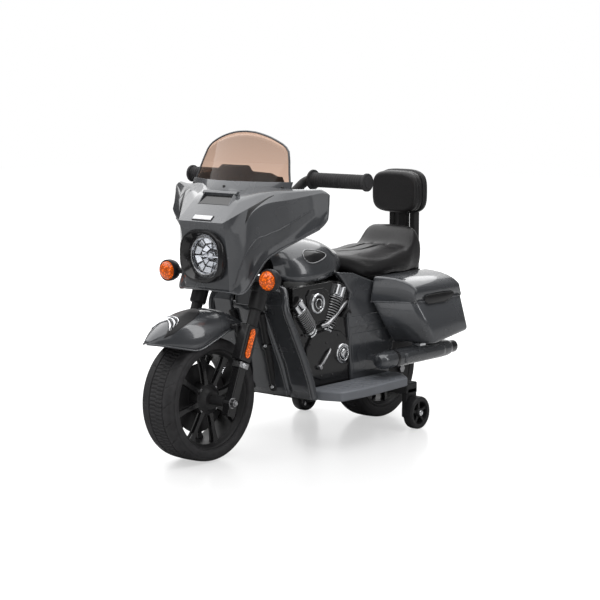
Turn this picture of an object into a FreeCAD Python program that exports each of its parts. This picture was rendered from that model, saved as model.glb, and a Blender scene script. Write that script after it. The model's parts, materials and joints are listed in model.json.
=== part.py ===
import FreeCAD, Part
import math
import os
import Sketcher

# Children's battery motorbike in millimetres: +Z up, it rides towards -Y, the rider's left is +X.
# Names that end in _back are distances behind the front axle, and names that end in _z are heights above the
# floor; _lead and _tail are distances ahead of and behind the piece or axle that they follow.

SIZES = {
    # Whole bike
    "front_axle_y": -312, "wheelbase": 640, "fit_gap": 0.3, "run_fit": 0.05, "overrun": 30, "wall": 4,
    # Front and rear wheels
    "front_wheel_radius": 140, "front_tyre_width": 92, "front_rim_radius": 112, "front_rim_width": 82,
    "front_hub_radius": 27, "front_hub_width": 80, "rim_wall": 5, "spoke_depth": 22, "spoke_width": 13,
    "window_margin": 5, "tyre_shoulder": 9, "tyre_crown": 2, "axle_radius": 6, "hub_play": 0.5,
    "rear_wheel_radius": 130, "rear_tyre_width": 76, "rear_rim_radius": 98, "rear_rim_width": 70,
    "rear_hub_width": 88,
    # Stabiliser wheels and brackets
    "stabiliser_radius": 40, "stabiliser_width": 26, "stabiliser_hub_radius": 10,
    "stabiliser_rim_radius": 29, "stabiliser_spoke_depth": 14, "stabiliser_spoke_width": 6,
    "stabiliser_axle_radius": 4, "stabiliser_window_margin": 2, "stabiliser_head_radius": 7,
    "stabiliser_head_length": 3, "stabiliser_lead": 60, "stabiliser_reach": 164, "arm_length": 44,
    "arm_height": 28, "arm_drop_width": 18, "arm_foot_z": 26,
    # Steering axis and fork
    "steer_offset": 12, "rake_angle": 21.55, "fork_half_spacing": 89, "fork_tube_radius": 11,
    "sleeve_radius": 19, "sleeve_low": 217, "crown_low": 262, "crown_thickness": 16,
    "crown_half_width": 103, "crown_depth": 32, "leg_top": 92, "leg_low": -34, "leg_width": 22,
    "leg_depth": 24, "leg_lead": 16, "bracket_length": 83, "bracket_width": 28, "bracket_depth": 38,
    "bracket_lead": 25, "reflector_width": 13, "reflector_length": 60, "reflector_thickness": 3,
    "stem_radius": 11, "stem_nut_radius": 17, "stem_nut_length": 10, "clamp_low": 372,
    "clamp_thickness": 16, "clamp_width": 80, "clamp_depth": 44, "head_tube_radius": 20, "bush_wall": 3,
    "bush_flange": 2, "bush_length": 22, "bush_flange_width": 4, "axle_nut_radius": 10,
    "axle_nut_length": 8, "spacer_radius": 11,
    # Front fender
    "fender_length": 280, "fender_half_width": 54, "fender_crest_z": 341, "fender_side_z": 260,
    "fender_wall": 3, "fender_lug_back": 55, "fender_lug_length": 20, "fender_lug_z": 296,
    "fender_lug_height": 10, "inlay_thickness": 2, "inlay_length": 104, "inlay_half_width": 19,
    "inlay_lead": 56,
    # Fairing
    "fairing_nose_back": 7, "fairing_depth": 181, "fairing_half_width": 237, "fairing_chin_z": 379,
    "fairing_height": 228, "headlamp_z": 457, "bezel_half_width": 60, "bezel_half_height": 56,
    "bezel_front_back": 20, "bezel_length": 26, "bezel_rim": 4, "headlamp_radius": 41, "bowl_depth": 32,
    "bowl_wall": 2.5, "bowl_flange": 5, "bowl_flange_thickness": 3, "lens_thickness": 3, "lens_crown": 6,
    "running_light_width": 46, "running_light_height": 12, "running_light_thickness": 3,
    "running_light_rise": 6, "scoop_width": 104, "scoop_length": 22, "scoop_height": 7, "scoop_rise": 60,
    "scoop_wall": 5,
    # Windshield, base strip and dash
    "screen_base_z": 592, "screen_height": 137, "screen_half_width": 150, "screen_base_back": 81,
    "screen_side_back": 140, "screen_top_back": 160, "screen_top_side_back": 197, "screen_thickness": 3,
    "strip_thickness": 4, "strip_height": 19, "dash_thickness": 4, "dash_drop": 36, "dash_rise": 58,
    "dash_inset": 8, "console_width": 116, "console_depth": 44, "console_height": 36, "console_drop": 28,
    "button_radius": 8, "button_proud": 4, "button_length": 12, "button_travel": 3, "button_spacing": 34,
    "rocker_width": 14, "rocker_length": 22, "rocker_height": 12, "rocker_proud": 4,
    "rocker_pin_radius": 2, "rocker_pin_reach": 3, "rocker_clearance": 2,
    # Signals
    "signal_x": 153, "signal_z": 410, "signal_back": 44, "signal_radius": 25, "signal_cup_length": 26,
    "signal_lens_length": 14, "signal_lens_inset": 2, "stalk_radius": 7, "stalk_reach": 66,
    "stalk_lead": 14,
    # Handlebar
    "bar_radius": 11, "bar_centre_back": 160, "bar_centre_z": 520, "bar_flat": 48, "bar_bend_x": 92,
    "grip_back": 264, "grip_z": 619, "bar_bend_radius": 24, "grip_radius": 16.5, "grip_inner_x": 109,
    "grip_outer_x": 271, "grip_flange_radius": 24, "grip_flange_length": 5, "bar_end_inset": 4,
    "riser_width": 60, "riser_depth": 30, "riser_cover": 12, "lamp_arm_width": 40,
    "lamp_arm_thickness": 12, "lamp_arm_clearance": 2, "lamp_plate_thickness": 8, "lamp_plate_drop": 14,
    # Frame
    "pan_front_back": 240, "pan_lead": 78, "pan_half_width": 108, "pan_low_z": 112, "pan_thickness": 8,
    "well_half_width": 50, "well_gap": 15, "front_wall_thickness": 6, "front_wall_half_width": 100,
    "front_wall_drop": 10, "neck_half_width": 16, "neck_low_z": 402, "neck_height": 28,
    "neck_rear_back": 330, "post_back": 240, "post_length": 30, "rail_half_width": 42, "rail_top_z": 365,
    "rail_thickness": 20, "seat_gap": 12, "plate_inner_x": 76, "plate_thickness": 6, "plate_lead": 170,
    "plate_tail": 32, "plate_low_z": 84, "plate_foot_lead": 88, "plate_axle_margin": 28,
    "rail_wing_lead": 40, "rail_wing_tail": 50, "hanger_length": 50, "hanger_low_z": 270,
    "hanger_height": 20,
    # Front panels
    "shield_top_back": 160, "shield_top_z": 340, "shield_angle": 18.8, "shield_wall": 4,
    "shield_foot_z": 122, "shield_inner_top_x": 47, "shield_outer_top_x": 112, "shield_inner_foot_x": 80,
    "shield_outer_foot_x": 150, "shield_crest_angle": 26.6, "shield_crest_rise": 45, "shield_crest_x": 84,
    "rib_radius": 9, "rib_rise": 22, "rib_bend_radius": 36, "down_tube_radius": 8, "down_tube_top_x": 47,
    "down_tube_foot_x": 30, "neck_cover_half_width": 27, "neck_cover_back": 148, "neck_cover_length": 18,
    "neck_cover_low_z": 333, "neck_cover_height": 65,
    # Tank
    "tank_front_back": 192, "tank_length": 230, "tank_half_width": 99, "tank_crest_z": 478,
    "tank_low_z": 384, "tank_rib_back": 300, "tank_rib_length": 12,
    # Engine covers and relief
    "engine_inner_x": 84, "engine_thickness": 18, "engine_front_back": 205, "engine_length": 215,
    "engine_top_z": 378, "cylinder_radius": 10, "front_cylinder_length": 92, "front_cylinder_tilt": 39,
    "rear_cylinder_length": 108, "rear_cylinder_tilt": 24, "cylinder_foot_z": 268,
    "cylinder_front_back": 275, "cylinder_rear_back": 326, "round_cover_radius": 22,
    "round_cover_height": 6, "round_cover_back": 286, "round_cover_z": 332, "gear_cover_radius": 22,
    "gear_cover_back": 379, "gear_cover_z": 204,
    # Side panels
    "side_inner_x": 82, "side_outer_x": 108, "side_front_back": 358, "side_rear_back": 602,
    "side_top_z": 398, "side_wall": 4, "side_clear": 2,
    # Seat
    "tank_seat_gap": 2, "seat_length": 314, "seat_half_width": 104, "seat_base_thickness": 6,
    "seat_dip_z": 428, "seat_hump_z": 478, "seat_base_half_width": 78, "seat_base_inset": 12,
    "seat_base_lead": 68, "channel_radius": 5, "channel_depth": 2.5, "channel_x": 22, "channel_lead": 44,
    "channel_tail": 80,
    # Backrest
    "backrest_half_width": 75, "backrest_low_z": 506, "backrest_height": 113, "backrest_corner": 24,
    "backrest_overhang": 38, "pad_thickness": 36, "shell_thickness": 16, "post_half_width": 40,
    "tongue_thickness": 12, "tongue_height": 60, "post_slot_width": 16, "post_slot_height": 60,
    "post_slot_x": 18, "post_slot_depth": 6, "post_slot_z": 470,
    # Rear fender and tail lamp
    "rear_fender_gap": 12, "rear_fender_wall": 4, "rear_fender_half_width": 46,
    "rear_fender_front_angle": 150, "rear_fender_rear_angle": 8, "fender_post_half_width": 20,
    "fender_post_length": 36, "tail_lamp_width": 52, "tail_lamp_height": 24, "tail_lamp_reach": 6,
    "tail_lamp_z": 214,
    # Saddlebags and lids
    "bag_inner_x": 112, "bag_width": 98, "bag_seam_z": 319, "bag_depth": 114, "bag_lead": 166,
    "bag_length": 247, "bag_sweep": 50, "bag_lean": 88, "bag_tail_lean": 37, "bag_tail_rise": 20,
    "bag_wall": 3, "lid_height": 58, "lid_front_lean": 16, "lid_rear_lean": 20, "lid_gap": 0.5,
    "hinge_radius": 5, "hinge_pin_radius": 2.5, "hinge_setback": 7, "hinge_inset": 14, "hinge_ear": 16,
    "hinge_leaf": 4, "hinge_leaf_rise": 0.5, "hinge_bite": 2, "hinge_side_gap": 0.4,
    # Exhausts
    "exhaust_x": 166, "exhaust_front_back": 436, "exhaust_length": 312, "exhaust_z": 182,
    "exhaust_radius": 19, "exhaust_mouth_radius": 15, "exhaust_mouth_length": 24, "exhaust_bore": 11,
    "exhaust_bore_depth": 40, "stay_back": 440, "stay_length": 30, "stay_height": 14,
    # Footboards and pedal
    "board_front_back": 244, "board_length": 316, "board_outer_x": 206, "board_top_z": 138,
    "board_thickness": 23, "pedal_x": 158, "pedal_width": 54, "pedal_length": 72, "pedal_thickness": 8,
    "pedal_hinge_back": 356, "pedal_tilt": 18, "pedal_pin_radius": 4, "pedal_ear": 7,
    "pedal_hinge_rise": 7, "pedal_side_gap": 0.4,
    # Power pieces
    "battery_width": 90, "battery_length": 95, "battery_height": 150, "battery_gap": 30,
    "battery_fillet": 4, "gearbox_width": 27, "gearbox_length": 120, "gearbox_height": 96,
    "gearbox_fillet": 8, "motor_radius": 13, "motor_length": 58, "motor_z": 152, "socket_radius": 9,
    "socket_flange": 3, "socket_barrel_radius": 6, "socket_barrel_length": 14, "socket_bore": 3,
    "socket_bore_depth": 14, "socket_back": 450, "socket_z": 250,
}

WHEEL_SPOKES = 10
STABILISER_SPOKES = 5
TREAD_SHOULDER_SHARE = 0.5
BUTTON_PLACE_SHARE = 0.6
BOWL_ARC_SHARES = (0.62, 0.7)
DOME_ARC_SHARES = (0.7, 0.5)
SHELL_BACK_SHARE = 0.93

doc = FreeCAD.newDocument("KidsMotorbike")
sheet = doc.addObject("Spreadsheet::Sheet", "Sizes")
for row, (alias, value) in enumerate(SIZES.items(), start=1):
    sheet.set(f"A{row}", alias)
    sheet.set(f"B{row}", str(value))
    sheet.setAlias(f"B{row}", alias)
doc.recompute()

V = FreeCAD.Vector
X_AXIS = (1, 0, 0)
Y_AXIS = (0, 1, 0)
Z_AXIS = (0, 0, 1)
NODES = []


class SheetValues:
    """Reads a driving size from the spreadsheet as a plain number."""

    def __getattr__(self, alias):
        return float(sheet.get(alias))


d = SheetValues()


def back(distance):
    """Y of a point that lies this far behind the front axle."""
    return d.front_axle_y + distance


def formula(text):
    """Expression text whose words are read from the sheet."""
    words = text.replace("(", "( ").replace(")", " )").split()
    return " ".join("Sizes." + word if word in SIZES else word for word in words)


# The steering frame: its origin is on the steering axis at axle height and its Z runs up that axis.
STEER = FreeCAD.Placement(V(0, back(d.steer_offset), d.front_wheel_radius),
                          FreeCAD.Rotation(V(*X_AXIS), -d.rake_angle))
WORLD = FreeCAD.Placement()


def place(item, at, axis=Z_AXIS, frame=WORLD):
    """Puts an item's own Z along an axis at a point of a frame."""
    turn = FreeCAD.Rotation(V(*Z_AXIS), V(*axis))
    item.Placement = frame.multiply(FreeCAD.Placement(V(*at), turn))
    return item


def cylinder(name, radius, height, at, axis=Z_AXIS, frame=WORLD):
    item = doc.addObject("Part::Cylinder", name)
    item.setExpression("Radius", formula(radius))
    item.setExpression("Height", formula(height))
    return place(item, at, axis, frame)


def block(name, length, width, height, at, frame=WORLD):
    """A box with its lowest corner at a point: length along X, width along Y, height along Z."""
    item = doc.addObject("Part::Box", name)
    item.setExpression("Length", formula(length))
    item.setExpression("Width", formula(width))
    item.setExpression("Height", formula(height))
    item.Placement = frame.multiply(FreeCAD.Placement(V(*at), FreeCAD.Rotation()))
    return item


def fuse(name, *items):
    item = doc.addObject("Part::MultiFuse", name)
    item.Shapes = list(items)
    item.Refine = True
    return item


def cut(name, base, *tools):
    """Removes every tool from the base."""
    item = doc.addObject("Part::Cut", name)
    item.Base = base
    item.Tool = tools[0] if len(tools) == 1 else fuse(name + "_tools", *tools)
    return item


def mirrored(name, source):
    """The copy of a piece on the other side of the bike's middle plane."""
    item = doc.addObject("Part::Mirroring", name)
    item.Source = source
    item.Normal = V(*X_AXIS)
    return item


def group(name, *items):
    item = doc.addObject("Part::Compound", name)
    item.Links = list(items)
    return item


def pair(name, source):
    """A left-hand piece and its mirror image, as two solids."""
    return group(name, source, mirrored(name + "_right", source))


def feature(name, shape):
    item = doc.addObject("Part::Feature", name)
    item.Shape = shape
    return item


def node(label, item):
    """Registers a finished piece under the name of its file."""
    item.Label = label
    NODES.append(item)
    return item


def polygon(points):
    return Part.makePolygon([V(*point) for point in points] + [V(*points[0])])


def prism(points, direction):
    return Part.Face(polygon(points)).extrude(V(*direction))


def loft(wires, ruled=False):
    return Part.makeLoft(wires, True, ruled)


def spline(points):
    curve = Part.BSplineCurve()
    curve.interpolate([V(*point) for point in points])
    return curve.toShape()


def line(start, end):
    return Part.makeLine(V(*start), V(*end))


def arc(start, middle, end):
    return Part.Arc(V(*start), V(*middle), V(*end)).toShape()


def origin_plane(body, role):
    return next(plane for plane in body.Origin.OriginFeatures if plane.Role == role)


def sketch_polygon(body, name, role, points):
    """A closed outline on one of the body's own planes, with every corner held by its coordinates."""
    sketch = body.newObject("Sketcher::SketchObject", name)
    sketch.AttachmentSupport = [(origin_plane(body, role), "")]
    sketch.MapMode = "FlatFace"
    count = len(points)
    for index, start in enumerate(points):
        end = points[(index + 1) % count]
        sketch.addGeometry(Part.LineSegment(V(*start, 0), V(*end, 0)), False)
    for index in range(count):
        sketch.addConstraint(Sketcher.Constraint("Coincident", index, 2, (index + 1) % count, 1))
    for index, (along, across) in enumerate(points):
        sketch.addConstraint(Sketcher.Constraint("DistanceX", -1, 1, index, 1, along))
        sketch.addConstraint(Sketcher.Constraint("DistanceY", -1, 1, index, 1, across))
    return sketch


def spoked_wheel(name, at, rim, wall, hub, bore, rim_width, hub_width, depth, width, margin, spokes):
    """A hub, a web and a rim turned in one piece, with windows between the spokes."""
    body = doc.addObject("PartDesign::Body", name)
    half_rim = rim_width / 2
    half_hub = hub_width / 2
    half_web = depth / 2
    inside = rim - wall
    profile = sketch_polygon(body, name + "_profile", "XZ_Plane", [
        (bore, -half_hub), (hub, -half_hub), (hub, -half_web), (inside, -half_web), (inside, -half_rim),
        (rim, -half_rim), (rim, half_rim), (inside, half_rim), (inside, half_web), (hub, half_web),
        (hub, half_hub), (bore, half_hub)])
    turned = body.newObject("PartDesign::Revolution", name + "_turned")
    turned.Profile = profile
    turned.ReferenceAxis = (profile, ["V_Axis"])
    doc.recompute()
    solid_volume = turned.Shape.Volume
    half_turn = math.pi / spokes
    inner = max(hub + margin, width / 2 / math.tan(half_turn))
    outer = inside - margin

    def edge_point(along, side):
        x = along * math.cos(half_turn) + width / 2 * math.sin(half_turn)
        y = along * math.sin(half_turn) - width / 2 * math.cos(half_turn)
        return (x, side * y)

    window = sketch_polygon(body, name + "_window", "XY_Plane", [
        edge_point(inner, -1), edge_point(outer, -1), edge_point(outer, 1), edge_point(inner, 1)])
    pocket = body.newObject("PartDesign::Pocket", name + "_pocket")
    pocket.Profile = window
    pocket.Type = "ThroughAll"
    pocket.Midplane = True
    doc.recompute()
    if pocket.Shape.Volume >= solid_volume:
        raise RuntimeError(name + ": the window cuts nothing")
    pattern = body.newObject("PartDesign::PolarPattern", name + "_pattern")
    pattern.Originals = [pocket]
    pattern.Axis = (window, ["N_Axis"])
    pattern.Angle = 360
    pattern.Occurrences = spokes
    body.Tip = pattern
    return place(body, at, X_AXIS)


def padded_body(name, role, points, length, fillet=None):
    """An outline on one of the body's planes, raised by a size of the sheet."""
    body = doc.addObject("PartDesign::Body", name)
    outline = sketch_polygon(body, name + "_outline", role, points)
    pad = body.newObject("PartDesign::Pad", name + "_pad")
    pad.Profile = outline
    pad.setExpression("Length", formula(length))
    doc.recompute()
    if fillet:
        rounded = body.newObject("PartDesign::Fillet", name + "_fillet")
        rounded.Base = (pad, [f"Edge{index + 1}" for index in range(len(pad.Shape.Edges))])
        rounded.setExpression("Radius", formula(fillet))
    return body


def tyre(name, at, radius, rim, width):
    """A low tyre with square shoulders and a lightly crowned tread."""
    half = width / 2
    tread = half - d.tyre_shoulder * TREAD_SHOULDER_SHARE
    shoulder = radius - d.tyre_shoulder
    inside = rim + d.run_fit
    crown = radius - d.tyre_crown
    edges = [
        line((-half, inside, 0), (-half, shoulder, 0)),
        line((-half, shoulder, 0), (-tread, crown, 0)),
        arc((-tread, crown, 0), (0, radius, 0), (tread, crown, 0)),
        line((tread, crown, 0), (half, shoulder, 0)),
        line((half, shoulder, 0), (half, inside, 0)),
        line((half, inside, 0), (-half, inside, 0)),
    ]
    shape = Part.Face(Part.Wire(edges)).revolve(V(0, 0, 0), V(*X_AXIS), 360)
    item = feature(name, shape)
    item.Placement = FreeCAD.Placement(V(*at), FreeCAD.Rotation())
    return item


# Wheels
front_axle_at = (0, back(0), d.front_wheel_radius)
rear_axle_back = d.wheelbase
rear_axle_at = (0, back(rear_axle_back), d.rear_wheel_radius)
wheel_bore = d.axle_radius + d.run_fit
node("front_tyre", tyre(
    "front_tyre", front_axle_at, d.front_wheel_radius, d.front_rim_radius, d.front_tyre_width))
node("rear_tyre", tyre(
    "rear_tyre", rear_axle_at, d.rear_wheel_radius, d.rear_rim_radius, d.rear_tyre_width))
node("front_rim", spoked_wheel(
    "front_rim", front_axle_at, d.front_rim_radius, d.rim_wall, d.front_hub_radius, wheel_bore,
    d.front_rim_width, d.front_hub_width, d.spoke_depth, d.spoke_width, d.window_margin, WHEEL_SPOKES))
node("rear_rim", spoked_wheel(
    "rear_rim", rear_axle_at, d.rear_rim_radius, d.rim_wall, d.front_hub_radius, wheel_bore,
    d.rear_rim_width, d.rear_hub_width, d.spoke_depth, d.spoke_width, d.window_margin, WHEEL_SPOKES))

# Front axle: a rod with two spacers inside the fork and two nuts outside it
leg_outer_x = d.fork_half_spacing + d.leg_width / 2
leg_inner_x = d.fork_half_spacing - d.leg_width / 2
front_hub_end = d.front_hub_width / 2 + d.hub_play
axle_end = leg_outer_x + d.axle_nut_length


def axle_set(name, centre, half_rod, spacers, nut_x):
    """A rod along X, spacer tubes given as pairs of ends, and a nut at each end."""
    x, y, z = centre
    length = 2 * half_rod
    rod = feature(name + "_rod", Part.makeCylinder(d.axle_radius, length, V(x - half_rod, y, z), V(*X_AXIS)))
    pieces = [rod]
    for index, (start, end) in enumerate(spacers):
        tube = Part.makeCylinder(d.spacer_radius, end - start, V(start, y, z), V(*X_AXIS))
        bore = Part.makeCylinder(d.axle_radius + d.run_fit, end - start, V(start, y, z), V(*X_AXIS))
        pieces.append(feature(f"{name}_spacer_{index}", tube.cut(bore)))
    for side in (-1, 1):
        start = nut_x if side > 0 else -nut_x - d.axle_nut_length
        corners = []
        for corner in range(6):
            turn = corner * math.pi / 3
            corners.append((start, y + d.axle_nut_radius * math.cos(turn),
                            z + d.axle_nut_radius * math.sin(turn)))
        nut = prism(corners, (d.axle_nut_length, 0, 0))
        bore = Part.makeCylinder(d.axle_radius + d.run_fit, d.axle_nut_length, V(start, y, z), V(*X_AXIS))
        pieces.append(feature(f"{name}_nut_{side}", nut.cut(bore)))
    return group(name, *pieces)


node("front_axle", axle_set("front_axle", front_axle_at, axle_end,
                            [(front_hub_end, leg_inner_x), (-leg_inner_x, -front_hub_end)], leg_outer_x))

# Fork legs: a flat lower leg, a tube and a wider sleeve under the crown
crown_top = d.crown_low + d.crown_thickness
lower_leg = block("lower_leg", "leg_width", "leg_depth", "leg_top - leg_low",
                  (leg_inner_x, -d.leg_lead, d.leg_low), STEER)
leg_tube = cylinder("leg_tube", "fork_tube_radius", "crown_low + crown_thickness - leg_top",
                    (d.fork_half_spacing, 0, d.leg_top), Z_AXIS, STEER)
leg_sleeve = cylinder("leg_sleeve", "sleeve_radius", "crown_low - sleeve_low",
                      (d.fork_half_spacing, 0, d.sleeve_low), Z_AXIS, STEER)
leg_bore = cylinder("leg_bore", "axle_radius + run_fit", "2 * fork_half_spacing",
                    (0, back(0), d.front_wheel_radius), X_AXIS)
fork_leg = cut("fork_leg", fuse("fork_leg_body", lower_leg, leg_tube, leg_sleeve), leg_bore)
node("fork_legs", pair("fork_legs", fork_leg))

# Reflector brackets around the tubes, each with a reflector on its outer face
bracket_inner_x = d.fork_half_spacing - d.bracket_width / 2
bracket_body = block("bracket_body", "bracket_width", "bracket_depth", "bracket_length",
                     (bracket_inner_x, -d.bracket_lead, d.leg_top), STEER)
bracket_bore = cylinder("bracket_bore", "fork_tube_radius + run_fit", "bracket_length + 2 * overrun",
                        (d.fork_half_spacing, 0, d.leg_top - d.overrun), Z_AXIS, STEER)
node("fork_brackets", pair("fork_brackets", cut("fork_bracket", bracket_body, bracket_bore)))
reflector = block("reflector", "reflector_thickness", "reflector_width", "reflector_length",
                  (bracket_inner_x + d.bracket_width, -d.reflector_width,
                   d.leg_top + (d.bracket_length - d.reflector_length) / 2), STEER)
node("fork_reflectors", pair("fork_reflectors", reflector))

# Fork crown: one bar across both legs and the stem
crown_bar = block("crown_bar", "2 * crown_half_width", "crown_depth", "crown_thickness",
                  (-d.crown_half_width, -d.crown_depth / 2, d.crown_low), STEER)
crown_bores = [
    cylinder(f"crown_bore_{index}", radius + " + run_fit", "crown_thickness + 2 * overrun",
             (x, 0, d.crown_low - d.overrun), Z_AXIS, STEER)
    for index, (x, radius) in enumerate((
        (-d.fork_half_spacing, "fork_tube_radius"), (0, "stem_radius"),
        (d.fork_half_spacing, "fork_tube_radius")))]
node("fork_crown", cut("fork_crown", crown_bar, *crown_bores))

# Steering stem with its nut under the crown
stem_rod = cylinder("stem_rod", "stem_radius", "clamp_low + clamp_thickness - crown_low + stem_nut_length",
                    (0, 0, d.crown_low - d.stem_nut_length), Z_AXIS, STEER)
stem_nut = cylinder("stem_nut", "stem_nut_radius", "stem_nut_length",
                    (0, 0, d.crown_low - d.stem_nut_length), Z_AXIS, STEER)
node("steering_stem", fuse("steering_stem", stem_rod, stem_nut))

# Top clamp: it holds the stem, the handlebar riser and the arm that carries the headlamp and fairing
clamp_top = d.clamp_low + d.clamp_thickness
bowl_front_back = d.bezel_front_back + d.bezel_length
bowl_rear_back = bowl_front_back + d.bowl_depth
arm_low = STEER.multVec(V(0, -d.head_tube_radius - d.bush_flange_width, d.clamp_low)).z + d.lamp_arm_clearance
arm_length = d.bar_centre_back - bowl_rear_back
clamp_body = block("clamp_body", "clamp_width", "clamp_depth", "clamp_thickness",
                   (-d.clamp_width / 2, -d.clamp_depth / 2, d.clamp_low), STEER)
lamp_arm = feature("lamp_arm", Part.makeBox(d.lamp_arm_width, arm_length, d.lamp_arm_thickness,
                                            V(-d.lamp_arm_width / 2, back(bowl_rear_back), arm_low)))
plate_low = d.headlamp_z - d.lamp_plate_drop
lamp_plate = feature("lamp_plate", Part.makeBox(
    d.lamp_arm_width, d.lamp_plate_thickness, arm_low + d.lamp_arm_thickness - plate_low,
    V(-d.lamp_arm_width / 2, back(bowl_rear_back), plate_low)))
riser = block("riser", "riser_width", "riser_depth", "2 * (bar_radius + riser_cover)",
              (-d.riser_width / 2, back(d.bar_centre_back) - d.riser_depth / 2,
               d.bar_centre_z - d.bar_radius - d.riser_cover))
stem_bore = cylinder("stem_bore", "stem_radius + run_fit", "overrun + clamp_thickness + run_fit",
                     (0, 0, d.clamp_low - d.overrun), Z_AXIS, STEER)
bar_bore = cylinder("bar_bore", "bar_radius + run_fit", "riser_width + 2 * overrun",
                    (-d.riser_width / 2 - d.overrun, back(d.bar_centre_back), d.bar_centre_z), X_AXIS)
node("top_clamp", cut("top_clamp", fuse("top_clamp_body", clamp_body, lamp_arm, lamp_plate, riser),
                      stem_bore, bar_bore))


# Handlebar: a level middle, two rising runs and two level ends, joined by round bends
def bent_wire(points, radius):
    """Straight runs joined by tangent arcs of one radius."""
    corners = [V(*point) for point in points]
    edges = []
    start = corners[0]
    for before, corner, after in zip(corners, corners[1:], corners[2:]):
        arrive = (corner - before).normalize()
        leave = (after - corner).normalize()
        turn = arrive.getAngle(leave)
        reach = radius * math.tan(turn / 2)
        first = corner - arrive * reach
        last = corner + leave * reach
        inward = (leave - arrive).normalize()
        middle = corner + inward * (radius / math.cos(turn / 2) - radius)
        edges.append(Part.makeLine(start, first))
        edges.append(Part.Arc(first, middle, last).toShape())
        start = last
    edges.append(Part.makeLine(start, corners[-1]))
    return Part.Wire(edges)


bar_end_x = d.grip_outer_x - d.bar_end_inset
bar_y = back(d.bar_centre_back)
grip_y = back(d.grip_back)
bar_path = bent_wire([
    (-bar_end_x, grip_y, d.grip_z), (-d.bar_bend_x, grip_y, d.grip_z), (-d.bar_flat, bar_y, d.bar_centre_z),
    (d.bar_flat, bar_y, d.bar_centre_z), (d.bar_bend_x, grip_y, d.grip_z), (bar_end_x, grip_y, d.grip_z)],
    d.bar_bend_radius)
bar_section = Part.Wire(Part.makeCircle(d.bar_radius, V(-bar_end_x, grip_y, d.grip_z), V(*X_AXIS)))
node("handlebar", feature("handlebar", bar_path.makePipeShell([bar_section], True, False)))

# Hand grips: a sleeve with an inner flange and a closed outer end
grip_body = cylinder("grip_body", "grip_radius", "grip_outer_x - grip_inner_x",
                     (d.grip_inner_x, grip_y, d.grip_z), X_AXIS)
grip_flange = cylinder("grip_flange", "grip_flange_radius", "grip_flange_length",
                       (d.grip_inner_x, grip_y, d.grip_z), X_AXIS)
grip_bore = cylinder("grip_bore", "bar_radius + run_fit",
                     "overrun + grip_outer_x - bar_end_inset - grip_inner_x + run_fit",
                     (d.grip_inner_x - d.overrun, grip_y, d.grip_z), X_AXIS)
hand_grip = cut("hand_grip", fuse("grip_solid", grip_body, grip_flange), grip_bore)
node("hand_grips", pair("hand_grips", hand_grip))

# Front fender: an arched shell, pointed at the front; each row is its place along the length,
# its half width, its crest and its side edge as shares of the fender's own sizes
FENDER_SHARES = (
    (0.00, 0.10, 0.32, 0.27), (0.10, 0.48, 0.56, 0.21), (0.24, 0.78, 0.80, 0.10), (0.41, 0.95, 0.96, 0.00),
    (0.60, 1.00, 1.00, 0.21), (0.76, 1.00, 0.93, 0.40), (0.90, 0.96, 0.72, 0.37), (1.00, 0.89, 0.50, 0.28))
FENDER_LUG_SHARE = 0.7964
ARCH_SHARES = (-1.0, -0.82, -0.5, 0.0, 0.5, 0.82, 1.0)
ARCH_POWER = 2.4


def arch(half_width, low, high, y):
    """A smooth arch across the bike, from one side edge over the crest to the other."""
    points = []
    for share in ARCH_SHARES:
        rise = (1 - abs(share) ** ARCH_POWER) ** (1 / ARCH_POWER)
        points.append((share * half_width, y, low + rise * (high - low)))
    return points


def arched_solid(rows, grow, sink):
    """A loft through arches closed by a straight line below; sink lowers that line for cutting."""
    wires = []
    for y, half_width, low, high in rows:
        points = arch(half_width + grow, low - sink, high + grow, y)
        wires.append(Part.Wire([spline(points), line(points[-1], points[0])]))
    return loft(wires)


fender_height = d.fender_crest_z - d.fender_side_z
fender_tip_back = d.fender_lug_back - FENDER_LUG_SHARE * d.fender_length
fender_rows = [(back(fender_tip_back + along * d.fender_length), half * d.fender_half_width,
                d.fender_side_z + side * fender_height, d.fender_side_z + crest * fender_height)
               for along, half, crest, side in FENDER_SHARES]
fender_outer = arched_solid(fender_rows, 0, 0)
fender_inner = arched_solid(fender_rows, -d.fender_wall, d.fender_wall)
lug_inner = d.fender_half_width - d.fender_wall
lug_length = bracket_inner_x - lug_inner
fender_shape = fender_outer.cut(fender_inner)
for lug_x in (lug_inner, -bracket_inner_x):
    lug = Part.makeBox(lug_length, d.fender_lug_length, d.fender_lug_height,
                       V(lug_x, back(d.fender_lug_back) - d.fender_lug_length / 2, d.fender_lug_z))
    fender_shape = fender_shape.fuse(lug.cut(fender_inner))
node("front_fender", feature("front_fender", fender_shape))

# Fender inlay: a raised drop-shaped strip along the front crest
inlay_tip = back(fender_tip_back + d.inlay_lead)
inlay_end = inlay_tip + d.inlay_length
inlay_mid = (inlay_tip + inlay_end) / 2
inlay_outline = Part.Wire([
    line((0, inlay_tip, 0), (d.inlay_half_width, inlay_mid, 0)),
    line((d.inlay_half_width, inlay_mid, 0), (d.inlay_half_width, inlay_end, 0)),
    line((d.inlay_half_width, inlay_end, 0), (-d.inlay_half_width, inlay_end, 0)),
    line((-d.inlay_half_width, inlay_end, 0), (-d.inlay_half_width, inlay_mid, 0)),
    line((-d.inlay_half_width, inlay_mid, 0), (0, inlay_tip, 0))])
inlay_prism = Part.Face(inlay_outline).extrude(V(0, 0, d.fender_crest_z + d.overrun))
inlay_top = arched_solid(fender_rows, d.fit_gap + d.inlay_thickness, 0)
inlay_base = arched_solid(fender_rows, d.fit_gap, 0)
inlay_pieces = inlay_top.common(inlay_prism).cut(inlay_base).Solids
node("fender_inlay", feature("fender_inlay", max(inlay_pieces, key=lambda piece: piece.Volume)))

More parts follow.
